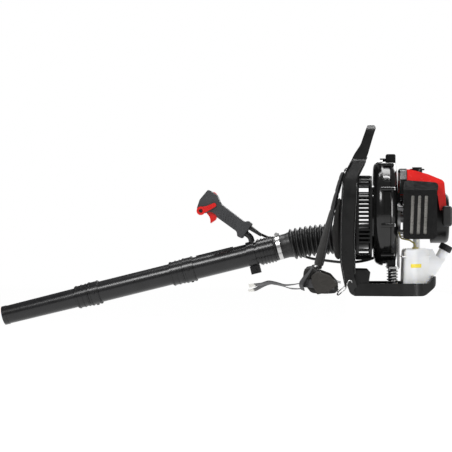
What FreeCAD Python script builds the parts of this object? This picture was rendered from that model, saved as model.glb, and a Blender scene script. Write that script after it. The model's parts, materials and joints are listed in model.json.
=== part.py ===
import FreeCAD, Part
import math
import os

# Backpack leaf blower, in millimetres. The wearer faces -X, +Z is up and +Y is the wearer's right.
# The origin is the middle of the flat underside of the backpack frame.

V = FreeCAD.Vector
X_AXIS = V(1, 0, 0)
Y_AXIS = V(0, 1, 0)
Z_AXIS = V(0, 0, 1)

# Backpack frame
BACK_HALF_WIDTH = 140.0
BACK_WALL = 4.0
BASE_HEIGHT = 37.0
BASE_FLOOR = 7.0
HANDLE_HALF_WIDTH = 75.0
HANDLE_TOP = 504.0

# Crank axis, fan and volute
CRANK_Z = 229.0
VOLUTE_FRONT = -54.0
VOLUTE_REAR = 14.0
VOLUTE_SEAM = -18.0
VOLUTE_WALL = 3.0
VOLUTE_ROUND = 26.0
SCROLL_STEP = 16.0
SCROLL_RADIUS = 134.0
INTAKE_RADIUS = 92.0
GUARD_HALF = 124.0
GUARD_CORNER = 44.0
GUARD_PITCH = 12.0
FAN_RADIUS = 113.0
SEAM_BAND = (-27.0, -5.0)
BAND_DEPTH = 4.5
DUCT_Y = 168.0
DUCT_Z = 231.0
SCROLL_EDGE = 189.0
DUCT_RADIUS = 42.0

# Engine: 44 mm bore, 34 mm stroke
CYLINDER_X = 66.0
BORE_RADIUS = 22.0
STROKE = 34.0
ROD_LENGTH = 55.0
SHAFT_RADIUS = 8.0
WEB_RADIUS = 30.0
WEB_GAP = 8.0
CASE_TOP = 264.0
CHOKE_Z = 270.0
FIT = 0.04
FLYWHEEL_RADIUS = 46.0
MAGNET_GAP = 0.5

# Recoil starter
STARTER_RADIUS = 75.0
STARTER_FRONT = 116.0
STARTER_REAR = 168.0
PULLEY_X = 154.0
PULLEY_RADIUS = 22.0
ROPE_RADIUS = 2.0
ROPE_EXIT = V(PULLEY_X, -76.0, 236.0)
GRIP_REST = 28.0

# Air pipe. Its axis starts at the front end of the bellows.
PIPE_START = V(-305.0, 212.0, 148.0)
PIPE_PITCH = 13.9
PIPE_YAW = 3.0
PIPE_LENGTH = 946.0
UPPER_RADIUS = 35.0
MIDDLE_RADIUS = 33.0
NOZZLE_RADIUS = 30.5
NOZZLE_TIP_RADIUS = 29.0
PIPE_WALL = 2.0
JOINT_2 = (313.0, 389.0)
JOINT_1 = (624.0, 701.0)
BELLOWS_REAR = V(-128.0, 196.0, 171.0)
BELLOWS_CREST = 49.0
BELLOWS_VALLEY = 41.0
BELLOWS_FOLDS = 12
CUFF_LENGTH = 24.0

# Control handle, placed on the pipe's vertical plane
GRIP_PITCH = 36.0
GRIP_WIDTH = 34.0


def box(x, y, z):
    """A block from three (low, high) pairs."""
    return Part.makeBox(x[1] - x[0], y[1] - y[0], z[1] - z[0], V(x[0], y[0], z[0]))


def rod(start, direction, radius, length):
    return Part.makeCylinder(radius, length, start, direction)


def ring(start, direction, outer, inner, length):
    return rod(start, direction, outer, length).cut(rod(start, direction, inner, length))


def union(shapes):
    joined = shapes[0].multiFuse(shapes[1:])
    return joined.removeSplitter()


def rounded_face(corners, place):
    """A flat face whose corners (u, v, radius) are rounded; place(u, v) gives the point in space."""
    edges = []
    count = len(corners)
    tangents = []
    for index in range(count):
        u, v, radius = corners[index]
        before = corners[index - 1]
        after = corners[(index + 1) % count]
        a = FreeCAD.Vector(before[0] - u, before[1] - v, 0).normalize()
        b = FreeCAD.Vector(after[0] - u, after[1] - v, 0).normalize()
        half = a.getAngle(b) / 2
        reach = radius / math.tan(half)
        middle = (a + b).normalize() * (radius / math.sin(half) - radius) if radius > 0 else V(0, 0, 0)
        tangents.append(
            (
                place(u + a.x * reach, v + a.y * reach),
                place(u + middle.x, v + middle.y),
                place(u + b.x * reach, v + b.y * reach),
            )
        )
    for index in range(count):
        start, middle, end = tangents[index]
        following = tangents[(index + 1) % count][0]
        if corners[index][2] > 0:
            edges.append(Part.Arc(start, middle, end).toShape())
        edges.append(Part.LineSegment(end, following).toShape())
    return Part.Face(Part.Wire(edges))


def side_prism(corners, y_low, y_high):
    """Extrudes an X-Z outline across the machine."""
    face = rounded_face(corners, lambda u, v: V(u, y_low, v))
    return face.extrude(V(0, y_high - y_low, 0))


def front_prism(corners, x_low, x_high):
    """Extrudes a Y-Z outline along the machine."""
    face = rounded_face(corners, lambda u, v: V(x_low, u, v))
    return face.extrude(V(x_high - x_low, 0, 0))


def plan_prism(corners, z_low, z_high):
    """Extrudes an X-Y outline upwards."""
    face = rounded_face(corners, lambda u, v: V(u, v, z_low))
    return face.extrude(V(0, 0, z_high - z_low))


def turned(profile, start, direction):
    """Revolves a closed (along, radius) profile about the axis that starts at start."""
    points = [V(radius, 0, along) for along, radius in profile]
    face = Part.Face(Part.makePolygon(points + [points[0]]))
    shape = face.revolve(V(0, 0, 0), Z_AXIS, 360)
    turn = FreeCAD.Rotation(Z_AXIS, direction)
    shape.Placement = FreeCAD.Placement(start, turn)
    return shape


def cord(points, radius, bend):
    """A round cord along straight runs that tangent arcs join."""
    edges = []
    last = points[0]
    for index in range(1, len(points) - 1):
        corner = points[index]
        a = (points[index - 1] - corner).normalize()
        b = (points[index + 1] - corner).normalize()
        half = a.getAngle(b) / 2
        shorter = min((points[index - 1] - corner).Length, (points[index + 1] - corner).Length)
        reach = min(bend / math.tan(half), 0.45 * shorter)
        true_bend = reach * math.tan(half)
        middle = corner + (a + b).normalize() * (true_bend / math.sin(half) - true_bend)
        edges.append(Part.LineSegment(last, corner + a * reach).toShape())
        edges.append(Part.Arc(corner + a * reach, middle, corner + b * reach).toShape())
        last = corner + b * reach
    edges.append(Part.LineSegment(last, points[-1]).toShape())
    path = Part.Wire(edges)
    section = Part.Wire(Part.makeCircle(radius, points[0], points[1] - points[0]))
    return path.makePipeShell([section], True, True)


def group(shapes):
    return Part.makeCompound(shapes)


# ---------------------------------------------------------------- backpack frame


def back_profile(inset):
    """Side outline of the back tray; inset thins it from the front."""
    return [
        (-96 + 4 * inset, inset, 0),
        (-122 + inset, inset, 22),
        (-141 + inset, 56, 60),
        (-150 + inset, 110, 80),
        (-150 + inset, 190, 200),
        (-144 + inset, 345, 60),
        (-112 + inset, 408 - inset, 20),
        (-72 + 4 * inset, 408 - inset, 0),
        (-104 + 4 * inset, 345, 40),
        (-113 + 4 * inset, 170, 200),
        (-112 + 4 * inset, 57, 60),
    ]


def back_outline(inset):
    half = BACK_HALF_WIDTH - inset
    top = HANDLE_HALF_WIDTH - inset
    return [
        (-half + 30, inset, 20),
        (-half, 40, 30),
        (-half, 318, 100),
        (-top, 408 - inset, 30),
        (top, 408 - inset, 30),
        (half, 318, 100),
        (half, 40, 30),
        (half - 30, inset, 20),
    ]


def back_tray():
    width = BACK_HALF_WIDTH
    outer = side_prism(back_profile(0), -width, width)
    outer = outer.common(front_prism(back_outline(0), -200, 0))
    inner = side_prism(back_profile(BACK_WALL), -width, width)
    inner = inner.common(front_prism(back_outline(BACK_WALL), -200, 0))
    return outer.cut(inner)


def carry_handle():
    profile = [
        (-124, 390, 0),
        (-111, 417, 60),
        (-93, 444, 60),
        (-72, HANDLE_TOP, 8),
        (-44, HANDLE_TOP, 10),
        (-56, 468, 60),
        (-72, 413, 60),
        (-84, 390, 0),
    ]
    half = HANDLE_HALF_WIDTH
    loop = side_prism(profile, -half, half)
    outline = [(-half, 380, 0), (-half, HANDLE_TOP, 34), (half, HANDLE_TOP, 34), (half, 380, 0)]
    hole = [(-half + 26, 418, 14), (-half + 26, 478, 16), (half - 26, 478, 16), (half - 26, 418, 14)]
    loop = loop.common(front_prism(outline, -200, 0))
    return loop.cut(front_prism(hole, -200, 0))


def base_plan(inset):
    return [
        (-112 + inset, -128 + inset, 8),
        (-30, -138 + inset, 40),
        (20, -148 + inset, 50),
        (76, -138 + inset, 50),
        (128 - inset, -84, 40),
        (128 - inset, 84, 40),
        (76, 138 - inset, 50),
        (20, 148 - inset, 50),
        (-30, 138 - inset, 40),
        (-112 + inset, 128 - inset, 8),
    ]


def base_profile(inset):
    return [
        (-118, inset, 0),
        (94, inset, 30),
        (128 - inset, 28, 24),
        (128 - inset, 56, 0),
        (121 - inset, 56, 4),
        (106 - inset, BASE_HEIGHT, 12),
        (-118, BASE_HEIGHT, 0),
    ]


def base_tray():
    outer = side_prism(base_profile(0), -150, 150).common(plan_prism(base_plan(0), 0, 60))
    hollow = plan_prism(base_plan(6.0), BASE_FLOOR, 80)
    seats = [rod(V(x, y, BASE_FLOOR), Z_AXIS, 18, 19) for x, y in SPRING_PLACES]
    keep = box((-130, -96), (-150, 150), (0, 60))
    return union([outer.cut(hollow.cut(keep))] + seats)


SPRING_PLACES = [(2.0, -118.0), (2.0, 118.0)]


def back_frame():
    strap_slots = [box((-200, -60), (y - 26, y + 26), (372, 380)) for y in (-62.0, 62.0)]
    frame = union([back_tray(), carry_handle(), base_tray()])
    for slot in strap_slots:
        frame = frame.cut(slot)
    return frame


def guard_face(inset):
    """Front view of the intake guard: a rounded square round the fan's axis."""
    half = GUARD_HALF - inset
    corner = GUARD_CORNER - inset
    return [
        (-half, CRANK_Z - half, corner),
        (half, CRANK_Z - half, corner),
        (half, CRANK_Z + half, corner),
        (-half, CRANK_Z + half, corner),
    ]


def intake_guard():
    front = -106.0
    rear = -60.0
    depth = 5.5
    shapes = [
        front_prism(guard_face(0), front, front + 8).cut(front_prism(guard_face(9), front - 1, front + 9)),
        front_prism(guard_face(0), rear - 6, rear).cut(front_prism(guard_face(9), rear - 7, rear + 1)),
        ring(V(front, 0, CRANK_Z), X_AXIS, 60, 52, 5),
        ring(V(front, 0, CRANK_Z), X_AXIS, 106, 98, 5),
        rod(V(front, 0, CRANK_Z), X_AXIS, 24, 5),
    ]
    flat = GUARD_HALF - GUARD_CORNER
    count = int(flat / GUARD_PITCH)
    for quarter in range(4):
        bars = []
        for step in range(-count, count + 1):
            at = CRANK_Z + step * GUARD_PITCH
            bars.append(box((front, rear), (-GUARD_HALF, depth - GUARD_HALF), (at - 2.6, at + 2.6)))
        for turn in (22.5, 45.0, 67.5):
            bar = box((front, rear), (-GUARD_CORNER, depth - GUARD_CORNER), (-2.6, 2.6))
            bar.rotate(V(0, 0, 0), X_AXIS, -turn)
            bar.translate(V(0, -flat, CRANK_Z + flat))
            bars.append(bar)
        for bar in bars:
            bar.rotate(V(0, 0, CRANK_Z), X_AXIS, quarter * 90)
        shapes += bars
    for step in range(8):
        spoke = box((front, front + 5), (-4, 4), (20, GUARD_HALF - 4))
        spoke.rotate(V(0, 0, 0), X_AXIS, step * 45)
        spoke.translate(V(0, 0, CRANK_Z))
        shapes.append(spoke)
    out = (BELLOWS_REAR - elbow_corner()).normalize()
    recess = rod(elbow_corner() - out * 60, out, DUCT_RADIUS + 4, 240)
    return union(shapes).cut(recess)


# ---------------------------------------------------------------- volute and fan


def scroll_quarters():
    """Centre (y, z from the crank axis), radius, start and end angle of each arc of the scroll."""
    half = SCROLL_STEP / 2
    first = SCROLL_RADIUS
    return [
        (-half, -half, first, -94, 4.3),
        (-half, half, first + SCROLL_STEP, 180, 270),
        (half, half, first + 2 * SCROLL_STEP, 90, 180),
        (half, -half, first + 3 * SCROLL_STEP, 3.1, 90),
    ]


def scroll_section(radius, inset):
    """Corners of the scroll's half section, with a rounded rim, in the plane that holds the axis."""
    front = VOLUTE_FRONT + inset
    rear = VOLUTE_REAR - inset
    corner = VOLUTE_ROUND - inset
    rim = radius - inset
    corners = [(0, front, 0), (rim, front, corner), (rim, rear, corner), (0, rear, 0)]
    return corners


def scroll(inset):
    pies = []
    for y, z, radius, start, end in scroll_quarters():
        corners = scroll_section(radius, inset)
        face = rounded_face(corners, lambda u, v: V(v, u, 0))
        pie = face.revolve(V(0, 0, 0), X_AXIS, end - start)
        pie.rotate(V(0, 0, 0), X_AXIS, start)
        pie.translate(V(0, y, CRANK_Z + z))
        pies.append(pie)
    return union(pies)


def seam_band():
    """Slab that holds the sunken band round the scroll, where the two halves meet."""
    return box((SEAM_BAND[0], SEAM_BAND[1]), (-300, 300), (0, 600))


def scroll_room():
    """Air space inside the scroll: a wall's thickness in, and deeper behind the sunken band."""
    wide_band = box((SEAM_BAND[0] - VOLUTE_WALL, SEAM_BAND[1] + VOLUTE_WALL), (-300, 300), (0, 600))
    inner = scroll(VOLUTE_WALL)
    return inner.cut(wide_band).fuse(scroll(VOLUTE_WALL + BAND_DEPTH).common(wide_band)).removeSplitter()


def volute_casing():
    outer = scroll(0)
    groove = scroll(-8).cut(scroll(BAND_DEPTH)).common(seam_band())
    duct_x = VOLUTE_SEAM - 2
    flange = box((duct_x - 36, duct_x + 36), (DUCT_Y - 37, DUCT_Y + 40), (DUCT_Z - 5, DUCT_Z + 3))
    spigot = rod(V(duct_x, DUCT_Y, DUCT_Z - 26), Z_AXIS, DUCT_RADIUS - 6.5, 26)
    bore = rod(V(duct_x, DUCT_Y, DUCT_Z - 30), Z_AXIS, DUCT_RADIUS - 9, 33)
    neck = box((duct_x - 22, duct_x + 22), (DUCT_Y - 23, SCROLL_EDGE - VOLUTE_WALL), (DUCT_Z - 2, DUCT_Z + 24))
    intake = rod(V(-80, 0, CRANK_Z), X_AXIS, INTAKE_RADIUS, 50)
    casing = union([outer.cut(groove), flange, spigot])
    return casing.cut(scroll_room()).cut(intake).cut(bore).cut(neck)


def scroll_bosses(x_low, x_high, radius):
    """Round bosses across the seam band of the volute."""
    places = []
    for angle in (35, 62, 90, 116, 153, 192, 232, 300):
        quarter = 3 if angle < 90 else 2 if angle < 180 else 1 if angle < 270 else 0
        y, z, reach, _, _ = scroll_quarters()[quarter]
        turn = math.radians(angle)
        places.append(V(x_low, y + (reach - 1) * math.cos(turn), CRANK_Z + z + (reach - 1) * math.sin(turn)))
    return [rod(place, X_AXIS, radius, x_high - x_low) for place in places]


def volute_front():
    shell = volute_casing().common(box((-100, VOLUTE_SEAM), (-300, 300), (0, 600)))
    mouth = ring(V(-60, 0, CRANK_Z), X_AXIS, INTAKE_RADIUS + 4, INTAKE_RADIUS, 8)
    bosses = scroll_bosses(-34, VOLUTE_SEAM, 6)
    return union([shell, mouth] + bosses).cut(scroll_room())


def volute_rear():
    shell = volute_casing().common(box((VOLUTE_SEAM, 100), (-300, 300), (0, 600)))
    foot = box((-14, 10), (-66, 50), (85, 104))
    knob = side_prism([(-17, 398, 3), (-17, 419, 5), (12, 419, 5), (12, 390, 3)], -11, 19)
    bosses = scroll_bosses(VOLUTE_SEAM, 4, 6)
    body = union([shell, foot, knob] + bosses).cut(scroll_room())
    body = body.cut(rod(V(0, 0, CRANK_Z), X_AXIS, 30, 30))
    return max(body.Solids, key=lambda solid: solid.Volume)


def volute_screws():
    heads = scroll_bosses(4, 7, 4.5)
    shanks = scroll_bosses(-30, 4, 2)
    return group([union([head, shank]) for head, shank in zip(heads, shanks)])


def fan():
    centre = V(-6, 0, CRANK_Z)
    plate = ring(centre, X_AXIS, FAN_RADIUS, SHAFT_RADIUS, 4)
    hub = ring(V(-40, 0, CRANK_Z), X_AXIS, 22, SHAFT_RADIUS, 36)
    shapes = [plate, hub]
    for step in range(14):
        inner = V(-42, 46, 0)
        middle = V(-42, 80, 15)
        outer = V(-42, 102, 41)
        arc = Part.Arc(inner, middle, outer).toShape()
        back = Part.Arc(outer + V(0, 1.4, -2.2), middle + V(0, 1.2, -2.4), inner + V(0, 0, -2.6)).toShape()
        wire = Part.Wire(
            [
                arc,
                Part.LineSegment(outer, outer + V(0, 1.4, -2.2)).toShape(),
                back,
                Part.LineSegment(inner + V(0, 0, -2.6), inner).toShape(),
            ]
        )
        blade = Part.Face(wire).extrude(V(37, 0, 0))
        blade.rotate(V(0, 0, 0), X_AXIS, step * 360 / 14)
        blade.translate(V(0, 0, CRANK_Z))
        shapes.append(blade)
    return union(shapes)


# ---------------------------------------------------------------- engine


def crankcase(x_low, x_high):
    axis = V(x_low, 0, CRANK_Z)
    width = x_high - x_low
    shapes = [
        rod(axis, X_AXIS, 42, width),
        box((x_low, x_high), (-34, 34), (CRANK_Z, CASE_TOP)),
        box((x_low, x_high), (-30, 30), (CRANK_Z - 52, CRANK_Z)),
    ]
    return union(shapes).cut(box((x_low, x_high), (-50, 50), (CASE_TOP, CASE_TOP + 20)))


def crankcase_front():
    front = 40.0
    body = crankcase(front, CYLINDER_X)
    legs = []
    for y, z in ((-52.0, 28.0), (52.0, 28.0), (-44.0, -42.0), (44.0, -42.0)):
        legs.append(rod(V(VOLUTE_REAR, y, CRANK_Z + z), X_AXIS, 7, 44))
        span = (min(y, y / 2), max(y, y / 2))
        legs.append(box((front + 6, front + 16), span, (CRANK_Z + z - 6, CRANK_Z + z + 6)))
    cavity = rod(V(front + 11, 0, CRANK_Z), X_AXIS, WEB_RADIUS + 2, 40)
    shaft_hole = rod(V(0, 0, CRANK_Z), X_AXIS, 17.5, 60)
    throat = rod(V(CYLINDER_X, 0, CRANK_Z), Z_AXIS, 24.0, 60)
    return union([body] + legs).cut(cavity).cut(shaft_hole).cut(throat)


def crankcase_rear():
    rear = 92.0
    body = crankcase(CYLINDER_X, rear)
    cavity = rod(V(CYLINDER_X, 0, CRANK_Z), X_AXIS, WEB_RADIUS + 2, 15)
    shaft_hole = rod(V(0, 0, CRANK_Z), X_AXIS, 17.5, 160)
    throat = rod(V(CYLINDER_X, 0, CRANK_Z), Z_AXIS, 24.0, 60)
    return body.cut(cavity).cut(shaft_hole).cut(throat)


def crank_bearings():
    """Two ball bearings, each with an oil seal on its outer side."""
    spans = [(40.0, 4.0), (44.0, 7.0), (81.0, 7.0), (88.0, 4.0)]
    return group([ring(V(x, 0, CRANK_Z), X_AXIS, 17.5, SHAFT_RADIUS + FIT, width) for x, width in spans])


def crankshaft():
    inner = WEB_GAP / 2
    front = union(
        [
            rod(V(-50, 0, CRANK_Z), X_AXIS, SHAFT_RADIUS, 50 + CYLINDER_X - inner),
            rod(V(CYLINDER_X - inner - 9, 0, CRANK_Z), X_AXIS, WEB_RADIUS, 9),
        ]
    )
    rear = union(
        [
            rod(V(CYLINDER_X + inner, 0, CRANK_Z), X_AXIS, SHAFT_RADIUS, 36),
            rod(V(CYLINDER_X + inner, 0, CRANK_Z), X_AXIS, WEB_RADIUS, 9),
        ]
    )
    return group([front, rear])


def flywheel():
    disc = ring(V(16, 0, CRANK_Z), X_AXIS, FLYWHEEL_RADIUS, SHAFT_RADIUS, 5)
    rim = ring(V(16, 0, CRANK_Z), X_AXIS, FLYWHEEL_RADIUS, FLYWHEEL_RADIUS - 9, 10)
    hub = ring(V(16, 0, CRANK_Z), X_AXIS, 14, SHAFT_RADIUS, 20)
    return union([disc, rim, hub])


PIN_Z = CRANK_Z + STROKE / 2
WRIST_Z = PIN_Z + ROD_LENGTH


def connecting_rod():
    half = 3.0
    big_end = ring(V(CYLINDER_X - half, 0, PIN_Z), X_AXIS, 9, 5, 2 * half)
    small_end = ring(V(CYLINDER_X - half, 0, WRIST_Z), X_AXIS, 8, 5, 2 * half)
    shank = box((CYLINDER_X - half, CYLINDER_X + half), (-5, 5), (PIN_Z + 7, WRIST_Z - 6))
    return union([big_end, small_end, shank])


def piston_pins():
    """The crankpin between the webs and the wrist pin in the piston."""
    half = WEB_GAP / 2 - 0.3
    crankpin = rod(V(CYLINDER_X - half, 0, PIN_Z), X_AXIS, 5, 2 * half)
    wrist_pin = rod(V(CYLINDER_X - 18, 0, WRIST_Z), X_AXIS, 5, 36)
    return group([crankpin, wrist_pin])


def piston():
    radius = BORE_RADIUS - 0.05
    bottom = WRIST_Z - 14
    top = WRIST_Z + 9
    body = rod(V(CYLINDER_X, 0, bottom), Z_AXIS, radius, top - bottom)
    hollow = rod(V(CYLINDER_X, 0, bottom), Z_AXIS, radius - 3, 19)
    bosses = box((CYLINDER_X - 18, CYLINDER_X + 18), (-8, 8), (WRIST_Z - 8, WRIST_Z + 8))
    gap = box((CYLINDER_X - 4, CYLINDER_X + 4), (-10, 10), (bottom, WRIST_Z + 8.5))
    pin_hole = rod(V(CYLINDER_X - 18, 0, WRIST_Z), X_AXIS, 5, 36)
    body = body.cut(hollow)
    inside = bosses.common(rod(V(CYLINDER_X, 0, bottom), Z_AXIS, radius, top - bottom))
    return union([body, inside]).cut(gap).cut(pin_hole)


HEAD_TOP = WRIST_Z + 27


def cylinder():
    head_top = HEAD_TOP
    barrel = rod(V(CYLINDER_X, 0, CASE_TOP), Z_AXIS, 28, head_top - CASE_TOP)
    flange = box((CYLINDER_X - 26, CYLINDER_X + 26), (-34, 34), (CASE_TOP, CASE_TOP + 6))
    port = rod(V(CYLINDER_X, -46, CASE_TOP + 22), Y_AXIS, 13, 92)
    fins = []
    level = CASE_TOP + 17
    while level < head_top - 3:
        corners = [
            (CYLINDER_X - 39, -43, 10),
            (CYLINDER_X + 39, -43, 10),
            (CYLINDER_X + 39, 43, 10),
            (CYLINDER_X - 39, 43, 10),
        ]
        fins.append(plan_prism(corners, level, level + 2.2))
        level += 6.5
    body = union([barrel, flange, port] + fins)
    bore = rod(V(CYLINDER_X, 0, CASE_TOP), Z_AXIS, BORE_RADIUS, WRIST_Z + 12 - CASE_TOP)
    plug_hole = rod(V(CYLINDER_X, 0, WRIST_Z), Z_AXIS, 7, 60)
    ports = rod(V(CYLINDER_X, -60, CASE_TOP + 22), Y_AXIS, 8, 120)
    return body.cut(bore).cut(plug_hole).cut(ports)


def spark_plug():
    start = V(CYLINDER_X, 0, WRIST_Z + 12)
    thread = rod(start, Z_AXIS, 7, 15)
    turns = [step * math.pi / 3 for step in range(7)]
    corners = [V(CYLINDER_X + 10.5 * math.cos(turn), 10.5 * math.sin(turn), HEAD_TOP) for turn in turns]
    hexagon = Part.makePolygon(corners)
    nut = Part.Face(hexagon).extrude(V(0, 0, 8))
    insulator = rod(V(CYLINDER_X, 0, HEAD_TOP + 8), Z_AXIS, 5, 8)
    return union([thread, nut, insulator])


def ignition_coil():
    low = CRANK_Z + 54
    body = box((15.2, 25.2), (-2, 34), (low, low + 20))
    poles = [box((16, 25), (y, y + 8), (low - 8, low)) for y in (0.0, 24.0)]
    return union([body] + poles).cut(rod(V(0, 0, CRANK_Z), X_AXIS, FLYWHEEL_RADIUS + MAGNET_GAP, 60))


def plug_lead():
    """The ignition lead with the rubber boot moulded on its end."""
    low = HEAD_TOP + 9
    boot = rod(V(CYLINDER_X, 0, low), Z_AXIS, 9, 13)
    arm = rod(V(CYLINDER_X, 0, low + 7), Y_AXIS, 6, 24)
    points = [
        V(20, 34.2, CRANK_Z + 66),
        V(24, 50, CRANK_Z + 67),
        V(34, 56, HEAD_TOP - 10),
        V(52, 56, HEAD_TOP + 12),
        V(CYLINDER_X, 42, HEAD_TOP + 16),
        V(CYLINDER_X, 23, HEAD_TOP + 16),
    ]
    return union([boot, arm, cord(points, 3.0, 14)]).cut(rod(V(CYLINDER_X, 0, low), Z_AXIS, 5, 7))


def muffler():
    corners = [(42, 182, 12), (42, 296, 12), (113, 296, 12), (113, 182, 12)]
    inner = [(43.5, 183.5, 10.5), (43.5, 294.5, 10.5), (111.5, 294.5, 10.5), (111.5, 183.5, 10.5)]
    can = side_prism(corners, -138, -66).cut(side_prism(inner, -136.5, -67.5))
    flange = box((CYLINDER_X - 20, CYLINDER_X + 20), (-66, -46), (CASE_TOP + 8, CASE_TOP + 32))
    inlet = rod(V(CYLINDER_X, -70, CASE_TOP + 20), Y_AXIS, 8, 30)
    seam = side_prism(
        [(39, 179, 14), (39, 299, 14), (116, 299, 14), (116, 179, 14)], -104, -100
    )
    seam = seam.cut(side_prism(inner, -110, -90))
    outlet = rod(V(96, -120, 176), Z_AXIS, 8, 8)
    return union([can, flange, seam, outlet]).cut(inlet).cut(rod(V(96, -120, 170), Z_AXIS, 6, 20))


def guard_outline(inset):
    return [
        (30 + inset, 166 + inset, 8),
        (118, 166 + inset, 10),
        (127 - inset, 176, 10),
        (127 - inset, 302, 6),
        (134 - inset, 330 - inset, 12),
        (32 + inset, 338 - inset, 10),
        (30 + inset, 311, 4),
    ]


def muffler_guard():
    block = side_prism(guard_outline(0), -152, -94)
    slope = [(-152, 308, 0), (-160, 308, 0), (-160, 350, 0), (-122, 350, 0), (-126, 341, 8)]
    block = block.cut(front_prism(slope, 0, 200))
    inner_slope = [(-149.4, 307, 0), (-170, 307, 0), (-170, 350, 0), (-119, 350, 0), (-123, 338, 0)]
    hollow = side_prism(guard_outline(2.6), -149.4, -90)
    hollow = hollow.cut(front_prism(inner_slope, 0, 200))
    panel = side_prism(
        [(42, 172, 8), (108, 172, 8), (112, 300, 14), (46, 300, 14)], -152, -151
    )
    block = block.cut(hollow).cut(panel)
    for x in (53.0, 72.5, 92.0):
        slot = side_prism([(x - 4.5, 179, 3), (x + 4.5, 179, 3), (x + 9, 292, 3), (x, 292, 3)], -160, -140)
        block = block.cut(slot)
    vents = [box((20, 200), (-130, -104), (z, z + 4)) for z in (190.0, 204.0, 218.0)]
    for vent in vents:
        block = block.cut(vent.common(box((110, 140), (-200, 0), (0, 400))))
    return block


def hood_outline(inset):
    return [
        (22 + inset, 296, 0),
        (22 + inset, 371 - inset, 12),
        (54, 371 - inset, 40),
        (104, 357 - inset, 60),
        (151 - inset, 337 - inset, 16),
        (158 - inset, 250, 0),
        (138, 250, 0),
        (132, 296, 0),
    ]


def engine_cover():
    block = side_prism(hood_outline(0), -92, 92)
    bevel = [(-92, 330, 0), (-100, 330, 0), (-100, 380, 0), (-66, 380, 0), (-72, 366, 20)]
    block = block.cut(front_prism(bevel, 0, 200))
    mirrored = [(-y, z, r) for y, z, r in reversed(bevel)]
    block = block.cut(front_prism(mirrored, 0, 200))
    hollow = side_prism(hood_outline(2.5), -89.5, 89.5)
    inner_bevel = [(-89.5, 329, 0), (-110, 329, 0), (-110, 380, 0), (-64, 380, 0), (-70.5, 363.5, 0)]
    hollow = hollow.cut(front_prism(inner_bevel, 0, 200))
    hollow = hollow.cut(front_prism([(-y, z, r) for y, z, r in reversed(inner_bevel)], 0, 200))
    floor = box((24.5, 133), (-89.5, 89.5), (290, 300))
    rear_floor = box((133, 155.5), (-89.5, 89.5), (240, 300))
    mouth = box((20, 25), (-60, 60), (290, 340))
    shell = block.cut(hollow).cut(floor).cut(rear_floor).cut(mouth)
    shell = shell.cut(rod(V(110, 0, CRANK_Z), X_AXIS, STARTER_RADIUS + 4, 100))
    return shell.cut(rod(V(76, 0, 340), Z_AXIS, 16, 60))


def access_cap():
    rim = rod(V(76, 0, 371), Z_AXIS, 22, 4)
    plug = rod(V(76, 0, 361), Z_AXIS, 15.6, 10)
    hollow = rod(V(76, 0, 361), Z_AXIS, 13, 8)
    bar = box((62, 90), (-4, 4), (375, 380))
    return union([rim, plug, bar]).cut(hollow)


def carburetor():
    """The carburetor body and the heat-proof spacer between it and the cylinder."""
    z = CASE_TOP + 22
    spacer = box((CYLINDER_X - 18, CYLINDER_X + 18), (46, 60), (z - 18, z + 18))
    body = box((CYLINDER_X - 19, CYLINDER_X + 19), (60, 94), (z - 20, z + 9.5))
    pump = box((CYLINDER_X - 15, CYLINDER_X + 15), (64, 90), (z - 27, z - 20))
    seat = rod(V(CYLINDER_X, 77, z - 31), Z_AXIS, 12, 4)
    stub = rod(V(CYLINDER_X - 30, 78, z - 12), X_AXIS, 3, 14)
    bore = rod(V(CYLINDER_X, 40, z), Y_AXIS, 8, 70)
    return group([union([body, pump, seat, stub]).cut(bore), spacer.cut(bore)])


def air_cleaner_case():
    z = CASE_TOP + 22
    outer = side_prism([(26, z - 44, 14), (26, z + 36, 14), (112, z + 36, 14), (112, z - 44, 14)], 94, 122)
    inner = side_prism([(29, z - 41, 11), (29, z + 33, 11), (109, z + 33, 11), (109, z - 41, 11)], 97, 130)
    return outer.cut(inner).cut(rod(V(CYLINDER_X, 90, z), Y_AXIS, 9, 10))


def air_filter():
    z = CASE_TOP + 22
    return side_prism([(31, z - 39, 9), (31, z + 31, 9), (107, z + 31, 9), (107, z - 39, 9)], 104, 121)


def air_cleaner_cover():
    z = CASE_TOP + 22
    outer = side_prism([(25, z - 45, 14), (25, z + 37, 14), (113, z + 37, 14), (113, z - 45, 14)], 122.4, 146)
    inner = side_prism([(28, z - 42, 11), (28, z + 34, 11), (110, z + 34, 11), (110, z - 42, 11)], 120, 143)
    louvres = [box((40, 98), (140, 150), (z - 30 + 9 * k, z - 26 + 9 * k)) for k in range(3)]
    shell = outer.cut(inner)
    for louvre in louvres:
        shell = shell.cut(louvre)
    return shell.cut(rod(V(CYLINDER_X + 3, 130, z + 18), Y_AXIS, 3.06, 30))


def cover_screw():
    z = CASE_TOP + 40
    head = rod(V(CYLINDER_X + 3, 146.3, z), Y_AXIS, 11, 9)
    shank = rod(V(CYLINDER_X + 3, 122, z), Y_AXIS, 3, 25)
    slot = box((CYLINDER_X - 12, CYLINDER_X + 18), (152, 156), (z - 1.5, z + 1.5))
    return union([head, shank]).cut(slot)


def choke_lever():
    pivot = rod(V(112.4, 108, CHOKE_Z), X_AXIS, 6, 5)
    arm = box((112.6, 116.4), (103, 113), (CHOKE_Z - 30, CHOKE_Z + 2))
    knob = rod(V(112.6, 108, CHOKE_Z - 30), X_AXIS, 6.5, 9)
    return union([pivot, arm, knob])


def primer_bulb():
    low = CASE_TOP - 9.7
    return Part.makeSphere(10, V(CYLINDER_X, 77, low)).common(box((0, 200), (0, 200), (low - 20, low)))


def starter_cup():
    """Cup on the end of the crankshaft that the pulley's pawls drive."""
    hub = ring(V(94, 0, CRANK_Z), X_AXIS, 20, SHAFT_RADIUS, 12)
    plate = ring(V(102, 0, CRANK_Z), X_AXIS, 34, SHAFT_RADIUS, 4)
    wall = ring(V(102, 0, CRANK_Z), X_AXIS, 34, 31, 38)
    return union([hub, plate, wall])


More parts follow.
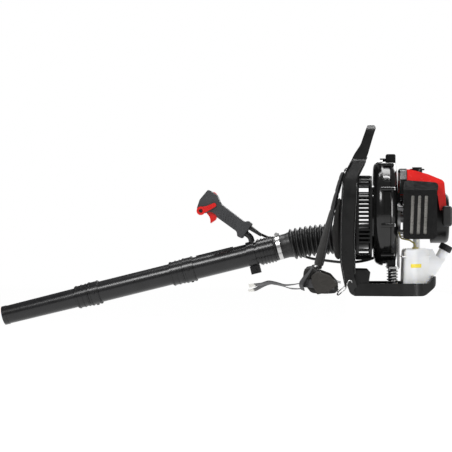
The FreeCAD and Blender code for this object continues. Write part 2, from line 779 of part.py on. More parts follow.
def starter_housing():
    length = STARTER_REAR - STARTER_FRONT
    start = V(STARTER_FRONT, 0, CRANK_Z)
    shell = rod(start, X_AXIS, STARTER_RADIUS, length)
    rear_edges = [edge for edge in shell.Edges if abs(edge.CenterOfMass.x - STARTER_REAR) < 0.1]
    shell = shell.makeFillet(12, rear_edges)
    hollow = rod(start, X_AXIS, STARTER_RADIUS - 2.6, length - 3)
    inner_edges = [edge for edge in hollow.Edges if abs(edge.CenterOfMass.x - STARTER_REAR + 3) < 0.1]
    hollow = hollow.makeFillet(10, inner_edges)
    post = rod(V(PULLEY_X - 9, 0, CRANK_Z), X_AXIS, 6, STARTER_REAR - 2 - PULLEY_X + 9)
    shell = union([shell.cut(hollow), post])
    for step in range(18):
        slot = box((STARTER_REAR - 10, STARTER_REAR + 5), (-2.5, 2.5), (34, 62))
        slot.rotate(V(0, 0, 0), X_AXIS, step * 20)
        slot.translate(V(0, 0, CRANK_Z))
        shell = shell.cut(slot)
    feet = []
    for angle in (45, 135, 225, 315):
        turn = math.radians(angle)
        place = V(92, 60 * math.cos(turn), CRANK_Z + 60 * math.sin(turn))
        feet.append(rod(place, X_AXIS, 6, STARTER_FRONT + 6 - 92))
        feet.append(rod(V(STARTER_FRONT, 66 * math.cos(turn), CRANK_Z + 66 * math.sin(turn)), X_AXIS, 7, 8))
    shell = union([shell] + feet)
    return shell.cut(rod(ROPE_EXIT - rope_direction() * 14, rope_direction(), ROPE_RADIUS + 1, 30))


def rope_tangent():
    """Where the rope leaves the pulley, on its upper side, for the straight run to the exit."""
    y = ROPE_EXIT.y
    z = ROPE_EXIT.z - CRANK_Z
    reach = math.hypot(y, z)
    turn = math.atan2(z, y) - math.acos(PULLEY_RADIUS / reach)
    return V(PULLEY_X, PULLEY_RADIUS * math.cos(turn), CRANK_Z + PULLEY_RADIUS * math.sin(turn))


def rope_direction():
    return (ROPE_EXIT - rope_tangent()).normalize()


def starter_pulley():
    start = V(PULLEY_X - 8, 0, CRANK_Z)
    drum = ring(start, X_AXIS, PULLEY_RADIUS - ROPE_RADIUS - 0.3, 6 + FIT, 16)
    sides = (PULLEY_X - 8, PULLEY_X + 5)
    cheeks = [ring(V(x, 0, CRANK_Z), X_AXIS, PULLEY_RADIUS + 6, 6 + FIT, 3) for x in sides]
    pawls = [
        box((PULLEY_X - 16, PULLEY_X - 8), (low, low + 8), (CRANK_Z - 4, CRANK_Z + 4)) for low in (-27.0, 19.0)
    ]
    return union([drum] + cheeks + pawls)


def starter_rope():
    start = rope_tangent()
    return rod(start, rope_direction(), ROPE_RADIUS, (ROPE_EXIT - start).Length + GRIP_REST - 9.8)


def starter_grip():
    centre = ROPE_EXIT + rope_direction() * GRIP_REST
    body = side_prism(
        [(144, 203, 9), (144, 263, 9), (173, 263, 9), (173, 203, 9)], centre.y - 9, centre.y + 9
    )
    edges = [edge for edge in body.Edges if abs(edge.CenterOfMass.y - centre.y) > 8]
    return body.makeFillet(6, edges)


# ---------------------------------------------------------------- fuel tank and mounts


SHELF_BOTTOM = CRANK_Z - 57
TANK_Y = (-120.0, 112.0)
NECK_START = V(136, -66, 102.5)
NECK_AXIS = V(math.cos(math.radians(62)), 0, math.sin(math.radians(62)))


def tank_outline(inset):
    return [
        (30 + inset, 24 + inset, 14),
        (104, 24 + inset, 20),
        (121 - inset, 54, 20),
        (121 - inset, 114, 14),
        (108 - inset / 2, 138 - inset, 12),
        (34 + inset, 138 - inset, 12),
    ]


def tank_plan(inset):
    near = TANK_Y[0] + inset
    far = TANK_Y[1] - inset
    return [
        (20, near, 0),
        (64, near, 40),
        (121 - inset, near + 50, 30),
        (121 - inset, far - 50, 30),
        (64, far, 40),
        (20, far, 0),
    ]


def tank_block(inset, rounding):
    near = TANK_Y[0] + inset
    far = TANK_Y[1] - inset
    block = side_prism(tank_outline(inset), near, far)
    ends = [e for e in block.Edges if e.CenterOfMass.y < near + 0.1 or e.CenterOfMass.y > far - 0.1]
    return block.makeFillet(rounding, ends).common(plan_prism(tank_plan(inset), 0, 160))


def neck_block(inset):
    """Swept-up shoulder of the tank under the filler neck."""
    outline = [
        (100, 58 + inset, 0),
        (127 - inset, 60 + inset, 6),
        (139 - inset, 82, 26),
        (153.5 - inset, 103.8, 0),
        (127.2 + inset, 117.8 - inset, 0),
        (118 - inset, 136 - inset, 0),
        (100, 136 - inset, 0),
    ]
    return side_prism(outline, NECK_START.y - 17 + inset, NECK_START.y + 17 - inset)


def fuel_tank():
    body = tank_block(0, 9)
    seam = plan_prism(tank_plan(-2.5), 113, 116.5).cut(box((0, 27.5), (-200, 200), (0, 200)))
    neck = rod(NECK_START, NECK_AXIS, 15, 46)
    posts = [rod(V(74, y, 130), Z_AXIS, 9, SHELF_BOTTOM - 130) for y in (-18.0, 18.0)]
    body = union([body, seam, neck, neck_block(0)] + posts)
    bore = rod(NECK_START - NECK_AXIS * 20, NECK_AXIS, 12.4, 80)
    body = body.cut(tank_block(2.4, 6.6)).cut(neck_block(2.4)).cut(bore)
    return body.cut(rod(V(66, -96, 130), Z_AXIS, 6, 20))


def fuel_cap():
    start = NECK_START + NECK_AXIS * 34
    body = rod(start, NECK_AXIS, 18, 19)
    top = start + NECK_AXIS * 19
    body = body.makeFillet(2.5, [e for e in body.Edges if (e.CenterOfMass - top).Length < 0.2])
    bore = rod(start, NECK_AXIS, 15.3, 12.3)
    stopper = rod(start + NECK_AXIS * 4, NECK_AXIS, 11.5, 10)
    shapes = [body.cut(bore), stopper]
    helper = V(0, 1, 0)
    for step in range(20):
        turn = math.radians(step * 18)
        outward = helper * math.cos(turn) + NECK_AXIS.cross(helper) * math.sin(turn)
        shapes.append(rod(start + outward * 17.6 + NECK_AXIS, NECK_AXIS, 1.4, 15))
    return union(shapes)


def fuel_line():
    """The rubber grommet in the top of the tank and the fuel line that runs through it."""
    grommet = ring(V(66, -96, 134), Z_AXIS, 9, 2.5, 8).cut(ring(V(66, -96, 135.5), Z_AXIS, 20, 6, 2.6))
    points = [
        V(66, -96, 128),
        V(66, -96, 152),
        V(50, -84, 163),
        V(26, -66, 168),
        V(20, -60, 186),
    ]
    return group([grommet, cord(points, 2.4, 10)])


def coil_spring(x, y):
    low = 29.5
    high = 76.5
    turns = 5.5
    helix = Part.makeHelix((high - low) / turns, high - low, 11.5)
    section = Part.Wire(Part.makeCircle(1.6, V(11.5, 0, 0), V(0, 1, 0)))
    spring = Part.Wire(helix.Edges).makePipeShell([section], True, True)
    spring.translate(V(x, y, low))
    return spring


def av_springs():
    return group([coil_spring(x, y) for x, y in SPRING_PLACES])


def av_rubbers():
    cores = []
    for x, y in SPRING_PLACES:
        core = rod(V(x, y, 26), Z_AXIS, 8.5, 54)
        lower = rod(V(x, y, 26), Z_AXIS, 14, 1.6)
        upper = rod(V(x, y, 78.4), Z_AXIS, 14, 1.6)
        cores.append(union([core, lower, upper]))
    return group(cores)


def engine_bracket():
    """Steel bracket that joins the volute's foot and the crankcase to the springs."""
    plate = plan_prism([(-14, -134, 8), (18, -134, 8), (18, 134, 8), (-14, 134, 8)], 80, 85)
    riser = box((18, 23), (-40, 40), (80, CRANK_Z - 52))
    shelf = box((18, 92), (-30, 30), (SHELF_BOTTOM, CRANK_Z - 52))
    return union([plate, riser, shelf])


# ---------------------------------------------------------------- air pipe


def pipe_axis():
    pitch = math.radians(PIPE_PITCH)
    yaw = math.radians(PIPE_YAW)
    return V(-math.cos(pitch) * math.cos(yaw), math.cos(pitch) * math.sin(yaw), -math.sin(pitch))


def along(distance):
    """Point on the pipe axis at this distance from the bellows."""
    return PIPE_START + pipe_axis() * distance


def pipe_side():
    """Level direction across the pipe, towards the wearer."""
    return V(-math.sin(math.radians(PIPE_YAW)), -math.cos(math.radians(PIPE_YAW)), 0)


def pipe_up():
    return pipe_axis().cross(pipe_side())


def elbow_corner():
    return V(VOLUTE_SEAM - 2, DUCT_Y, 181)


def outlet_elbow():
    corner = elbow_corner()
    start = V(corner.x, corner.y, DUCT_Z + 3.3 - 9)
    out = (BELLOWS_REAR - corner).normalize()
    up = V(0, 0, 1)
    half = up.getAngle(out) / 2
    bend = 46.0
    reach = bend / math.tan(half)
    middle = corner + (up + out).normalize() * (bend / math.sin(half) - bend)
    arc = Part.Arc(corner + up * reach, middle, corner + out * reach).toShape()
    shapes = []
    for radius in (DUCT_RADIUS - 3, DUCT_RADIUS - 6):
        bent = Part.Wire([arc]).makePipeShell(
            [Part.Wire(Part.makeCircle(radius, corner + up * reach, up))], True, True
        )
        neck = rod(corner + up * reach, up, radius, start.z - corner.z - reach)
        leg = rod(corner + out * reach, out, radius, (BELLOWS_REAR - corner).Length - reach)
        shapes.append(union([bent, neck, leg]))
    flange = rod(V(start.x, start.y, DUCT_Z - 12.7), Z_AXIS, DUCT_RADIUS - 1, 7)
    entry = rod(V(start.x, start.y, 200), Z_AXIS, DUCT_RADIUS - 6, 60)
    return union([shapes[0], flange]).cut(shapes[1]).cut(entry)


def bellows():
    corner = elbow_corner()
    out = (BELLOWS_REAR - corner).normalize()
    span = PIPE_START - BELLOWS_REAR
    chord = V(span.x, span.y, span.z).normalize()
    inner = DUCT_RADIUS - 3
    rear_start = BELLOWS_REAR - out * CUFF_LENGTH
    rear_cuff = ring(rear_start, out, inner + 3, inner - 3, CUFF_LENGTH + 12)
    folds = BELLOWS_FOLDS
    pitch = (span.Length - 14) / folds
    profile = [(0, inner - 3), (0, BELLOWS_VALLEY)]
    for step in range(folds):
        at = step * pitch
        profile += [(at + pitch * 0.35, BELLOWS_CREST), (at + pitch * 0.65, BELLOWS_CREST)]
        profile.append((at + pitch, BELLOWS_VALLEY))
    profile += [(folds * pitch + 8, UPPER_RADIUS + 2), (folds * pitch + 8, inner - 5)]
    folds_solid = turned(profile, BELLOWS_REAR + chord * 4, chord)
    front_cuff = ring(along(-8), pipe_axis(), UPPER_RADIUS + 2.6, UPPER_RADIUS - 1.4, 60)
    body = union([rear_cuff, folds_solid, front_cuff])
    body = body.cut(rod(along(-14), pipe_axis(), UPPER_RADIUS - 1.4, 80))
    return body.cut(rod(BELLOWS_REAR - out * 40, out, inner + 0.02, 40))


def hose_clamp():
    outer = UPPER_RADIUS + 2.6
    band = ring(along(31), pipe_axis(), outer + 1.4, outer, 12)
    place = along(37) + pipe_up() * (outer + 5)
    housing = rod(place - pipe_side() * 11, pipe_side(), 5.2, 22)
    head = rod(place + pipe_side() * 11, pipe_side(), 4.2, 6)
    saddle = Part.makeBox(14, 18, 6, V(-7, -9, -3))
    saddle.Placement = FreeCAD.Placement(along(37) + pipe_up() * (outer + 3.4), pipe_turn())
    keep_out = rod(along(20), pipe_axis(), outer, 40)
    return union([band, housing, head, saddle]).cut(keep_out)


def pipe_turn():
    """Rotation whose X runs down the pipe, Y across it and Z up from it."""
    return FreeCAD.Rotation(pipe_axis(), pipe_side(), pipe_up(), "XYZ")


def swivel_collar():
    spigot = ring(along(2), pipe_axis(), UPPER_RADIUS - 1.4, UPPER_RADIUS - 5, 70)
    collar = ring(along(53), pipe_axis(), UPPER_RADIUS + 4, UPPER_RADIUS - 5, 52)
    rings = [
        ring(along(s), pipe_axis(), UPPER_RADIUS + 6.5, UPPER_RADIUS + 2, 3)
        for s in (57.0, 67.0, 77.0, 87.0, 98.0)
    ]
    socket = rod(along(72), pipe_axis(), UPPER_RADIUS + 0.05, 80)
    return union([spigot, collar] + rings).cut(socket)


def pipe_section(start, end, radius, bore):
    return ring(along(start), pipe_axis(), radius, bore, end - start)


def pipe_upper():
    radius = UPPER_RADIUS
    tube = pipe_section(73, JOINT_2[0] + 8, radius, radius - PIPE_WALL)
    sleeve = pipe_section(JOINT_2[0], JOINT_2[0] + 34, radius + 3.6, MIDDLE_RADIUS + 0.06)
    rings = [pipe_section(JOINT_2[0] + s, JOINT_2[0] + s + 3, radius + 5, radius) for s in (2.0, 28.0)]
    ramp = pipe_section(JOINT_2[0], JOINT_2[0] + 8, radius + 3.6, radius - PIPE_WALL)
    rib = Part.makeBox(120, 5, 4, V(-60, -2.5, 0))
    rib.Placement = FreeCAD.Placement(along(240) + pipe_up() * (radius - 1), pipe_turn())
    pins = [rod(along(JOINT_2[0] + 16) + pipe_side() * (radius + 2), pipe_side(), 4, 4)]
    pins.append(rod(along(JOINT_2[0] + 16) - pipe_up() * (radius + 2), pipe_up() * -1, 4, 4))
    body = union([tube, sleeve, ramp, rib] + rings + pins)
    return body.cut(rod(along(60), pipe_axis(), radius - PIPE_WALL, JOINT_2[0] - 52))


def pipe_middle():
    radius = MIDDLE_RADIUS
    tube = pipe_section(JOINT_2[0] + 10, JOINT_1[0] + 8, radius, radius - PIPE_WALL)
    collar = pipe_section(JOINT_2[0] + 36, JOINT_2[1], radius + 4, radius - PIPE_WALL)
    rings = [pipe_section(JOINT_2[0] + s, JOINT_2[0] + s + 3, radius + 5.6, radius) for s in (40.0, 54.0, 71.0)]
    socket = pipe_section(JOINT_1[0], JOINT_1[0] + 34, radius + 3.4, NOZZLE_RADIUS + 0.06)
    ramp = pipe_section(JOINT_1[0], JOINT_1[0] + 8, radius + 3.4, radius - PIPE_WALL)
    socket_rings = [pipe_section(JOINT_1[0] + s, JOINT_1[0] + s + 3, radius + 5, radius) for s in (2.0, 28.0)]
    pins = [rod(along(JOINT_1[0] + 16) + pipe_side() * (radius + 2), pipe_side(), 4, 4)]
    pins.append(rod(along(JOINT_1[0] + 16) - pipe_up() * (radius + 2), pipe_up() * -1, 4, 4))
    return union([tube, collar, socket, ramp] + rings + socket_rings + pins)


def nozzle():
    start = JOINT_1[0] + 10
    straight = JOINT_1[1] - start
    length = PIPE_LENGTH - start
    profile = [
        (0, NOZZLE_RADIUS - PIPE_WALL),
        (0, NOZZLE_RADIUS),
        (straight, NOZZLE_RADIUS),
        (length - 14, NOZZLE_TIP_RADIUS),
        (length - 14, NOZZLE_TIP_RADIUS + 1.2),
        (length, NOZZLE_TIP_RADIUS + 1.2),
        (length, NOZZLE_TIP_RADIUS - PIPE_WALL),
        (straight, NOZZLE_RADIUS - PIPE_WALL),
    ]
    tube = turned(profile, along(start), pipe_axis())
    collar = pipe_section(JOINT_1[0] + 36, JOINT_1[1], NOZZLE_RADIUS + 4.4, NOZZLE_RADIUS - 0.5)
    rings = [
        pipe_section(JOINT_1[0] + s, JOINT_1[0] + s + 3, NOZZLE_RADIUS + 6, NOZZLE_RADIUS)
        for s in (40.0, 54.0, 71.0)
    ]
    return union([tube, collar] + rings)


# ---------------------------------------------------------------- control handle


CLAMP_AT = 124.0
CLAMP_WIDTH = 26.0
STEM_AT = 118.0
STEM_RISE = 54.5


def grip_axis():
    """Direction from the lower end of the grip to its head."""
    pitch = math.radians(GRIP_PITCH)
    yaw = math.radians(PIPE_YAW)
    return V(-math.cos(pitch) * math.cos(yaw), math.cos(pitch) * math.sin(yaw), math.sin(pitch))


def grip_origin():
    """Middle of the lower end of the grip."""
    return along(CLAMP_AT) + pipe_up() * 70 + pipe_axis() * 7


def grip_turn():
    away = pipe_side() * -1
    return FreeCAD.Rotation(grip_axis(), away, grip_axis().cross(away), "XYZ")


def grip_place():
    return FreeCAD.Placement(grip_origin(), grip_turn())


def in_grip(shape):
    """Moves a shape out of the grip's frame: X to the head, Y away from the wearer, Z to the trigger."""
    shape.Placement = grip_place().multiply(shape.Placement)
    return shape


def handle_clamp():
    inner = UPPER_RADIUS + 0.02
    band = ring(along(CLAMP_AT - CLAMP_WIDTH / 2 + 3), pipe_axis(), inner + 5, inner, CLAMP_WIDTH - 2)
    foot = Part.makeBox(30, 26, 26, V(-15, -13, 0))
    foot.Placement = FreeCAD.Placement(along(CLAMP_AT + 3) - pipe_up() * (inner + 27), pipe_turn())
    stem = cord(
        [
            along(STEM_AT) + pipe_up() * (inner + 2),
            along(STEM_AT) + pipe_up() * STEM_RISE,
            grip_origin() + grip_axis() * 8,
        ],
        9.5,
        30,
    )
    keep_out = rod(along(CLAMP_AT - 40), pipe_axis(), inner, 80)
    bolt_hole = rod(along(CLAMP_AT + 3) - pipe_up() * (UPPER_RADIUS + 18) - pipe_side() * 30, pipe_side(), 3, 60)
    return union([band, foot, stem]).cut(keep_out).cut(bolt_hole)


def clamp_bolt():
    place = along(CLAMP_AT + 3) - pipe_up() * (UPPER_RADIUS + 18)
    shank = rod(place - pipe_side() * 18, pipe_side(), 3, 34)
    head = rod(place + pipe_side() * 13, pipe_side(), 6, 5)
    nut = rod(place - pipe_side() * 18, pipe_side(), 5.5, 5)
    return union([shank, head, nut])



def grip_prism(corners, y_low, y_high):
    """Extrudes an outline of the grip's own X-Z plane across the grip."""
    return side_prism(corners, y_low, y_high)


GRIP_OUTLINE = [
    (174, -42, 6),
    (140, -44, 12),
    (116, -29, 16),
    (22, -27, 12),
    (13, -37, 6),
    (-3, -36, 6),
    (-3, 20, 5),
    (13, 23, 6),
    (24, 12, 12),
    (98, 12.5, 4),
    (110, 8, 4),
    (126, 10, 8),
    (150, 36, 10),
    (168, 28, 10),
    (177, 0, 20),
]
LEVER_PIVOT = V(152.3, 0, 25.3)
GRIP_SCREWS = [(12.0, -10.0), (86.0, -20.0), (166.0, -22.0)]
TRIGGER_PIVOT = V(134, 0, 6)
GRIP_HALF = GRIP_WIDTH / 2


def grip_hollow():
    """Room inside the two grip halves for the trigger, the switch and the cable."""
    pocket = [
        (10, -24, 0),
        (104, -25, 0),
        (124, -33, 0),
        (140, -38, 0),
        (165, -37, 0),
        (168, 6, 0),
        (160, 10, 0),
        (130, 4, 0),
        (112, 3, 0),
        (94, 8, 0),
        (28, 8, 0),
        (10, 0, 0),
    ]
    room = grip_prism(pocket, -GRIP_HALF + 3, GRIP_HALF - 3)
    trigger_slot = box((92, 143), (-6.4, 6.4), (-6, 40))
    switch_slot = box((139, 164), (-6.4, 6.4), (-60, -34))
    cable_hole = rod(V(-20, 0, -22), X_AXIS, 4.6, 34)
    stem_hole = rod(V(-20, 0, 0), X_AXIS, 9.55, 31)
    return [room, trigger_slot, switch_slot, cable_hole, stem_hole]


def grip_half(y_low, y_high):
    shell = grip_prism(GRIP_OUTLINE, y_low, y_high)
    outer_y = y_low if abs(y_low) > abs(y_high) else y_high
    rim = [edge for edge in shell.Edges if abs(edge.CenterOfMass.y - outer_y) < 0.01]
    shell = shell.makeFillet(3.4, rim)
    for step in range(7):
        x = 34 + step * 9
        corners = [(x, 4, 0), (x + 4, 4, 0), (x + 14, -20, 0), (x + 10, -20, 0)]
        groove = grip_prism(corners, outer_y - 0.8, outer_y + 0.8)
        shell = shell.cut(groove)
    for hollow in grip_hollow():
        shell = shell.cut(hollow)
    shell = shell.cut(rod(V(LEVER_PIVOT.x, -30, LEVER_PIVOT.z), Y_AXIS, 2.5, 42))
    shell = shell.cut(rod(V(TRIGGER_PIVOT.x, -GRIP_HALF + 3, TRIGGER_PIVOT.z), Y_AXIS, 2, GRIP_WIDTH - 6))
    return shell


def grip_left():
    return in_grip(grip_half(-GRIP_HALF, 0))


def grip_right():
    return in_grip(grip_half(0, GRIP_HALF))


def handle_screws():
    """The clamp's bolt, the lever's screw, the trigger's pin and the screws that hold the grip halves."""
    near = -GRIP_HALF - 5.2
    shank = rod(V(LEVER_PIVOT.x, near + 0.5, LEVER_PIVOT.z), Y_AXIS, 2.5, 20)
    head = rod(V(LEVER_PIVOT.x, near - 0.9, LEVER_PIVOT.z), Y_AXIS, 5.4, 1.7)
    pin = rod(V(TRIGGER_PIVOT.x, -GRIP_HALF + 3, TRIGGER_PIVOT.z), Y_AXIS, 2, GRIP_WIDTH - 6)
    screws = [rod(V(x, GRIP_HALF, z), Y_AXIS, 3.4, 1.2) for x, z in GRIP_SCREWS]
    loose = [in_grip(shape) for shape in [union([shank, head]), pin] + screws]
    return group([clamp_bolt()] + loose)


def trigger():
    outline = [
        (141, 2, 4),
        (141, 13, 3),
        (134, 22, 4),
        (118, 25, 30),
        (106, 41, 1.5),
        (99, 22, 8),
        (102, 10, 6),
        (116, -3, 8),
        (134, -4, 6),
    ]
    body = grip_prism(outline, -6, 6)
    body = body.cut(rod(V(TRIGGER_PIVOT.x, -20, TRIGGER_PIVOT.z), Y_AXIS, 2 + FIT, 40))
    return in_grip(body)


def cruise_lever():
    outline = [
        (160, 16, 0),
        (146, 2, 12),
        (131, -23, 6),
        (121, -16, 6),
        (134, 14, 12),
        (146, 36, 0),
    ]
    near = -GRIP_HALF - 5.2
    arm = grip_prism(outline, near, near + 4.8)
    boss = rod(V(LEVER_PIVOT.x, near - 1, LEVER_PIVOT.z), Y_AXIS, 13.4, 5.8)
    hole = rod(V(LEVER_PIVOT.x, near - 5, LEVER_PIVOT.z), Y_AXIS, 2.5 + FIT, 20)
    dish = rod(V(LEVER_PIVOT.x, near - 2, LEVER_PIVOT.z), Y_AXIS, 6.6, 3)
    return in_grip(union([arm, boss]).cut(hole).cut(dish))


def stop_switch():
    slider = box((143, 157), (-6, 6), (-45, -35))
    ribs = [box((146 + 3 * k, 147.5 + 3 * k), (-6, 6), (-46.4, -44.9)) for k in range(3)]
    return in_grip(union([slider] + ribs))


CABLE_POINTS = [
    V(-386, 238, 173),
    V(-340, 262, 154),
    V(-292, 268, 122),
    V(-248, 246, 104),
    V(-202, 208, 99),
    V(-150, 172, 93),
    V(-95, 158, 94),
    V(-42, 150, 108),
    V(8, 144, 146),
    V(28, 116, 196),
    V(28, 88, 246),
    V(48.5, 78, 260.8),
]


def throttle_cable():
    start = grip_place().multVec(V(-4, 0, -22))
    second = grip_place().multVec(V(-34, 0, -23.5))
    return cord([start, second] + CABLE_POINTS, 4.0, 30)


# ---------------------------------------------------------------- harness


def back_pad():
    outline = [
        (-151.5, 98, 1),
        (-161, 98, 6),
        (-170, 140, 25),
        (-172, 196, 30),
        (-156, 298, 5),
        (-149.5, 298, 2),
        (-151.5, 190, 10),
    ]
    return side_prism(outline, -104, 104)


STRAP_LINE = [(-142.5, 363), (-153.5, 334), (-175.5, 252), (-198.5, 163), (-217.5, 86)]
STRAP_HALF_THICK = 7.0
STRAP_Y = 66.0
STRAP_HALF_WIDTH = 27.0


def strap_outline():
    """Side outline of a padded shoulder strap: its middle line, set off to each side."""
    front = [(x - STRAP_HALF_THICK, z - 2.0, 24) for x, z in STRAP_LINE]
    back = [(x + STRAP_HALF_THICK, z + 2.0, 24) for x, z in reversed(STRAP_LINE)]
    corners = front + back
    ends = (0, len(front) - 1, len(front), len(corners) - 1)
    return [(x, z, 2 if index in ends else radius) for index, (x, z, radius) in enumerate(corners)]


def shoulder_straps():
    straps = []
    for side in (-1, 1):
        y = side * STRAP_Y
        straps.append(side_prism(strap_outline(), y - STRAP_HALF_WIDTH, y + STRAP_HALF_WIDTH))
    return group(straps)


def webbing(points, y, width, thickness):
    """A flat band seen edge-on, along (x, z) points."""
    front = []
    back = []
    for index, (x, z) in enumerate(points):
        before = points[max(index - 1, 0)]
        after = points[min(index + 1, len(points) - 1)]
        way = V(after[0] - before[0], 0, after[1] - before[1]).normalize()
        across = V(-way.z, 0, way.x) * (thickness / 2)
        inner = index not in (0, len(points) - 1)
        front.append((x + across.x, z + across.z, 12 if inner else 0))
        back.append((x - across.x, z - across.z, 12 if inner else 0))
    return side_prism(front + back[::-1], y - width / 2, y + width / 2)


def strap_webbing():
    """Webbing at the top and bottom of the shoulder straps, and the two loose ends of the belt."""
    upper = [(-141, 368.5), (-132, 375.6), (-104, 376.4)]
    lower = [(-219, 76), (-205, 58), (-170, 42), (-151, 36)]
    bands = [webbing(upper, y, 40, 2.2) for y in (-62.0, 62.0)]
    bands += [webbing(lower, side * STRAP_Y, 25, 2.2) for side in (-1, 1)]
    bands += [webbing(line, side * 112.0, 25, 2.4) for side, line in BELT_LINES.items()]
    return group(bands)


def ladder_lock(side):
    y = side * STRAP_Y
    frame = box((-226, -208), (y - 19, y + 19), (77.5, 83.5))
    slots = [box((x, x + 4), (y - 14, y + 14), (70, 90)) for x in (-223.5, -215.0)]
    for slot in slots:
        frame = frame.cut(slot)
    return frame


def strap_hardware():
    """A ladder lock under each shoulder strap and a wire hook at each side of the frame."""
    return group([ladder_lock(side) for side in (-1, 1)] + strap_hooks())


def hip_pad(side):
    outline = [
        (-262, 84, 8),
        (-266, 44, 12),
        (-240, 4, 14),
        (-160, 3, 12),
        (-152, 30, 10),
        (-196, 52, 20),
        (-236, 88, 8),
    ]
    low = 108 if side > 0 else -146
    return side_prism(outline, low, low + 38)


def hip_pads():
    return group([hip_pad(side) for side in (-1, 1)])


BELT_LINES = {
    -1: [(-268, 36), (-316, 31), (-340, 36), (-362, 39), (-384, 34), (-420, 29)],
    1: [(-268, 13), (-300, 14), (-336, 24), (-360, 31), (-384, 26), (-416, 8), (-434, 7)],
}


def strap_hooks():
    """A wire hook at each side of the frame's foot: an eye against the side wall and a long shank."""
    hooks = []
    for side in (-1, 1):
        wall = side * (BACK_HALF_WIDTH + 0.4)
        y = side * 148.0
        eye = [V(-118, wall, 40), V(-121, y, 45), V(-127, y, 46), V(-132, y, 39), V(-136, y, 25)]
        shank = [V(-142, y, 17), V(-157, y, 4), V(-162, y, 7), V(-158, y, 13)]
        hooks.append(cord(eye + shank, 1.6, 3))
    return hooks


NODES = {
    "back_frame": back_frame,
    "intake_guard": intake_guard,
    "volute_front": volute_front,
    "volute_rear": volute_rear,
    "volute_screws": volute_screws,
    "fan": fan,
    "crankcase_front": crankcase_front,
    "crankcase_rear": crankcase_rear,
    "crank_bearings": crank_bearings,
    "crankshaft": crankshaft,
    "connecting_rod": connecting_rod,
    "piston_pins": piston_pins,
    "piston": piston,
    "cylinder": cylinder,
    "spark_plug": spark_plug,
    "plug_lead": plug_lead,
    "flywheel": flywheel,
    "ignition_coil": ignition_coil,
    "muffler": muffler,
    "muffler_guard": muffler_guard,
    "engine_cover": engine_cover,
    "access_cap": access_cap,
    "carburetor": carburetor,
    "primer_bulb": primer_bulb,
    "air_cleaner_case": air_cleaner_case,
    "air_filter": air_filter,
    "air_cleaner_cover": air_cleaner_cover,
    "air_cleaner_knob": cover_screw,
    "choke_lever": choke_lever,
    "starter_cup": starter_cup,
    "starter_housing": starter_housing,
    "starter_pulley": starter_pulley,
    "starter_rope": starter_rope,
    "starter_grip": starter_grip,
    "fuel_tank": fuel_tank,
    "fuel_cap": fuel_cap,
    "fuel_line": fuel_line,
    "engine_bracket": engine_bracket,
    "av_springs": av_springs,
    "av_rubbers": av_rubbers,
    "outlet_elbow": outlet_elbow,
    "bellows": bellows,
    "hose_clamp": hose_clamp,
    "swivel_collar": swivel_collar,
    "pipe_upper": pipe_upper,
    "pipe_middle": pipe_middle,
    "nozzle": nozzle,
    "handle_clamp": handle_clamp,
    "grip_left": grip_left,
    "grip_right": grip_right,
    "trigger": trigger,
    "cruise_lever": cruise_lever,
    "handle_screws": handle_screws,
    "stop_switch": stop_switch,
    "throttle_cable": throttle_cable,
    "back_pad": back_pad,
    "shoulder_straps": shoulder_straps,
    "strap_webbing": strap_webbing,
    "strap_hardware": strap_hardware,
    "hip_pads": hip_pads,
}

os.makedirs("parts", exist_ok=True)
for name, make in NODES.items():
    shape = make()
    shape.exportStep("parts/" + name + ".step")
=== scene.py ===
import json
import math

import bmesh
import bpy
from mathutils import Matrix, Vector, noise


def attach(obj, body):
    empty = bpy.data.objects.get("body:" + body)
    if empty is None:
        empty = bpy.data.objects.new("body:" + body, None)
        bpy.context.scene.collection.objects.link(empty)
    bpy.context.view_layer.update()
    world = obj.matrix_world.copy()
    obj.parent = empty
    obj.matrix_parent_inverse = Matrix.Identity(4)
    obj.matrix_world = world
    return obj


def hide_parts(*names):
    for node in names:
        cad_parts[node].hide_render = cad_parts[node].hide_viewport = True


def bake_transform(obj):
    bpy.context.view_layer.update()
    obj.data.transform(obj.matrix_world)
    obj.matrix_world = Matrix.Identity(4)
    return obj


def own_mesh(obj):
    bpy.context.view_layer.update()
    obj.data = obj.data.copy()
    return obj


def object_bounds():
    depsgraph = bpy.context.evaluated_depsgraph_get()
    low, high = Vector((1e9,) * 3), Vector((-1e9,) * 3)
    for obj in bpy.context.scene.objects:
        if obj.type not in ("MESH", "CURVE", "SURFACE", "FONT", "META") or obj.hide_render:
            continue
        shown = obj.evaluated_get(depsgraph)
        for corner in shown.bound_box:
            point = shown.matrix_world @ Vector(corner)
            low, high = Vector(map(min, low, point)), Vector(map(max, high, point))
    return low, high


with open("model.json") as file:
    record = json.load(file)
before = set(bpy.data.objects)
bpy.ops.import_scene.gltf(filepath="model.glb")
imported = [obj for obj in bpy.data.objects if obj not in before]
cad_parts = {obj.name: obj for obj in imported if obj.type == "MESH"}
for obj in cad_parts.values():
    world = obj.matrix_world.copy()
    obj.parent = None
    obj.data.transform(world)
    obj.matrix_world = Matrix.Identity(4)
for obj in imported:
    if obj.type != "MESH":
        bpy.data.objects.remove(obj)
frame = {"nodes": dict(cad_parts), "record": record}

cad_box = [list(corner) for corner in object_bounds()]
NODES = frame["nodes"]
MM = 0.001


# ---------------------------------------------------------------- materials

def new_material(name):
    """A material with its node tree's parts."""
    mat = bpy.data.materials.new(name)
    mat.use_nodes = True
    tree = mat.node_tree
    return mat, tree.nodes, tree.links, tree.nodes["Principled BSDF"]


def object_mapping(nodes, links, stretch=(1, 1, 1)):
    """Coordinates that belong to the object, stretched along its axes."""
    place = nodes.new("ShaderNodeTexCoord")
    mapping = nodes.new("ShaderNodeMapping")
    mapping.inputs["Scale"].default_value = stretch
    links.new(place.outputs["Object"], mapping.inputs["Vector"])
    return mapping


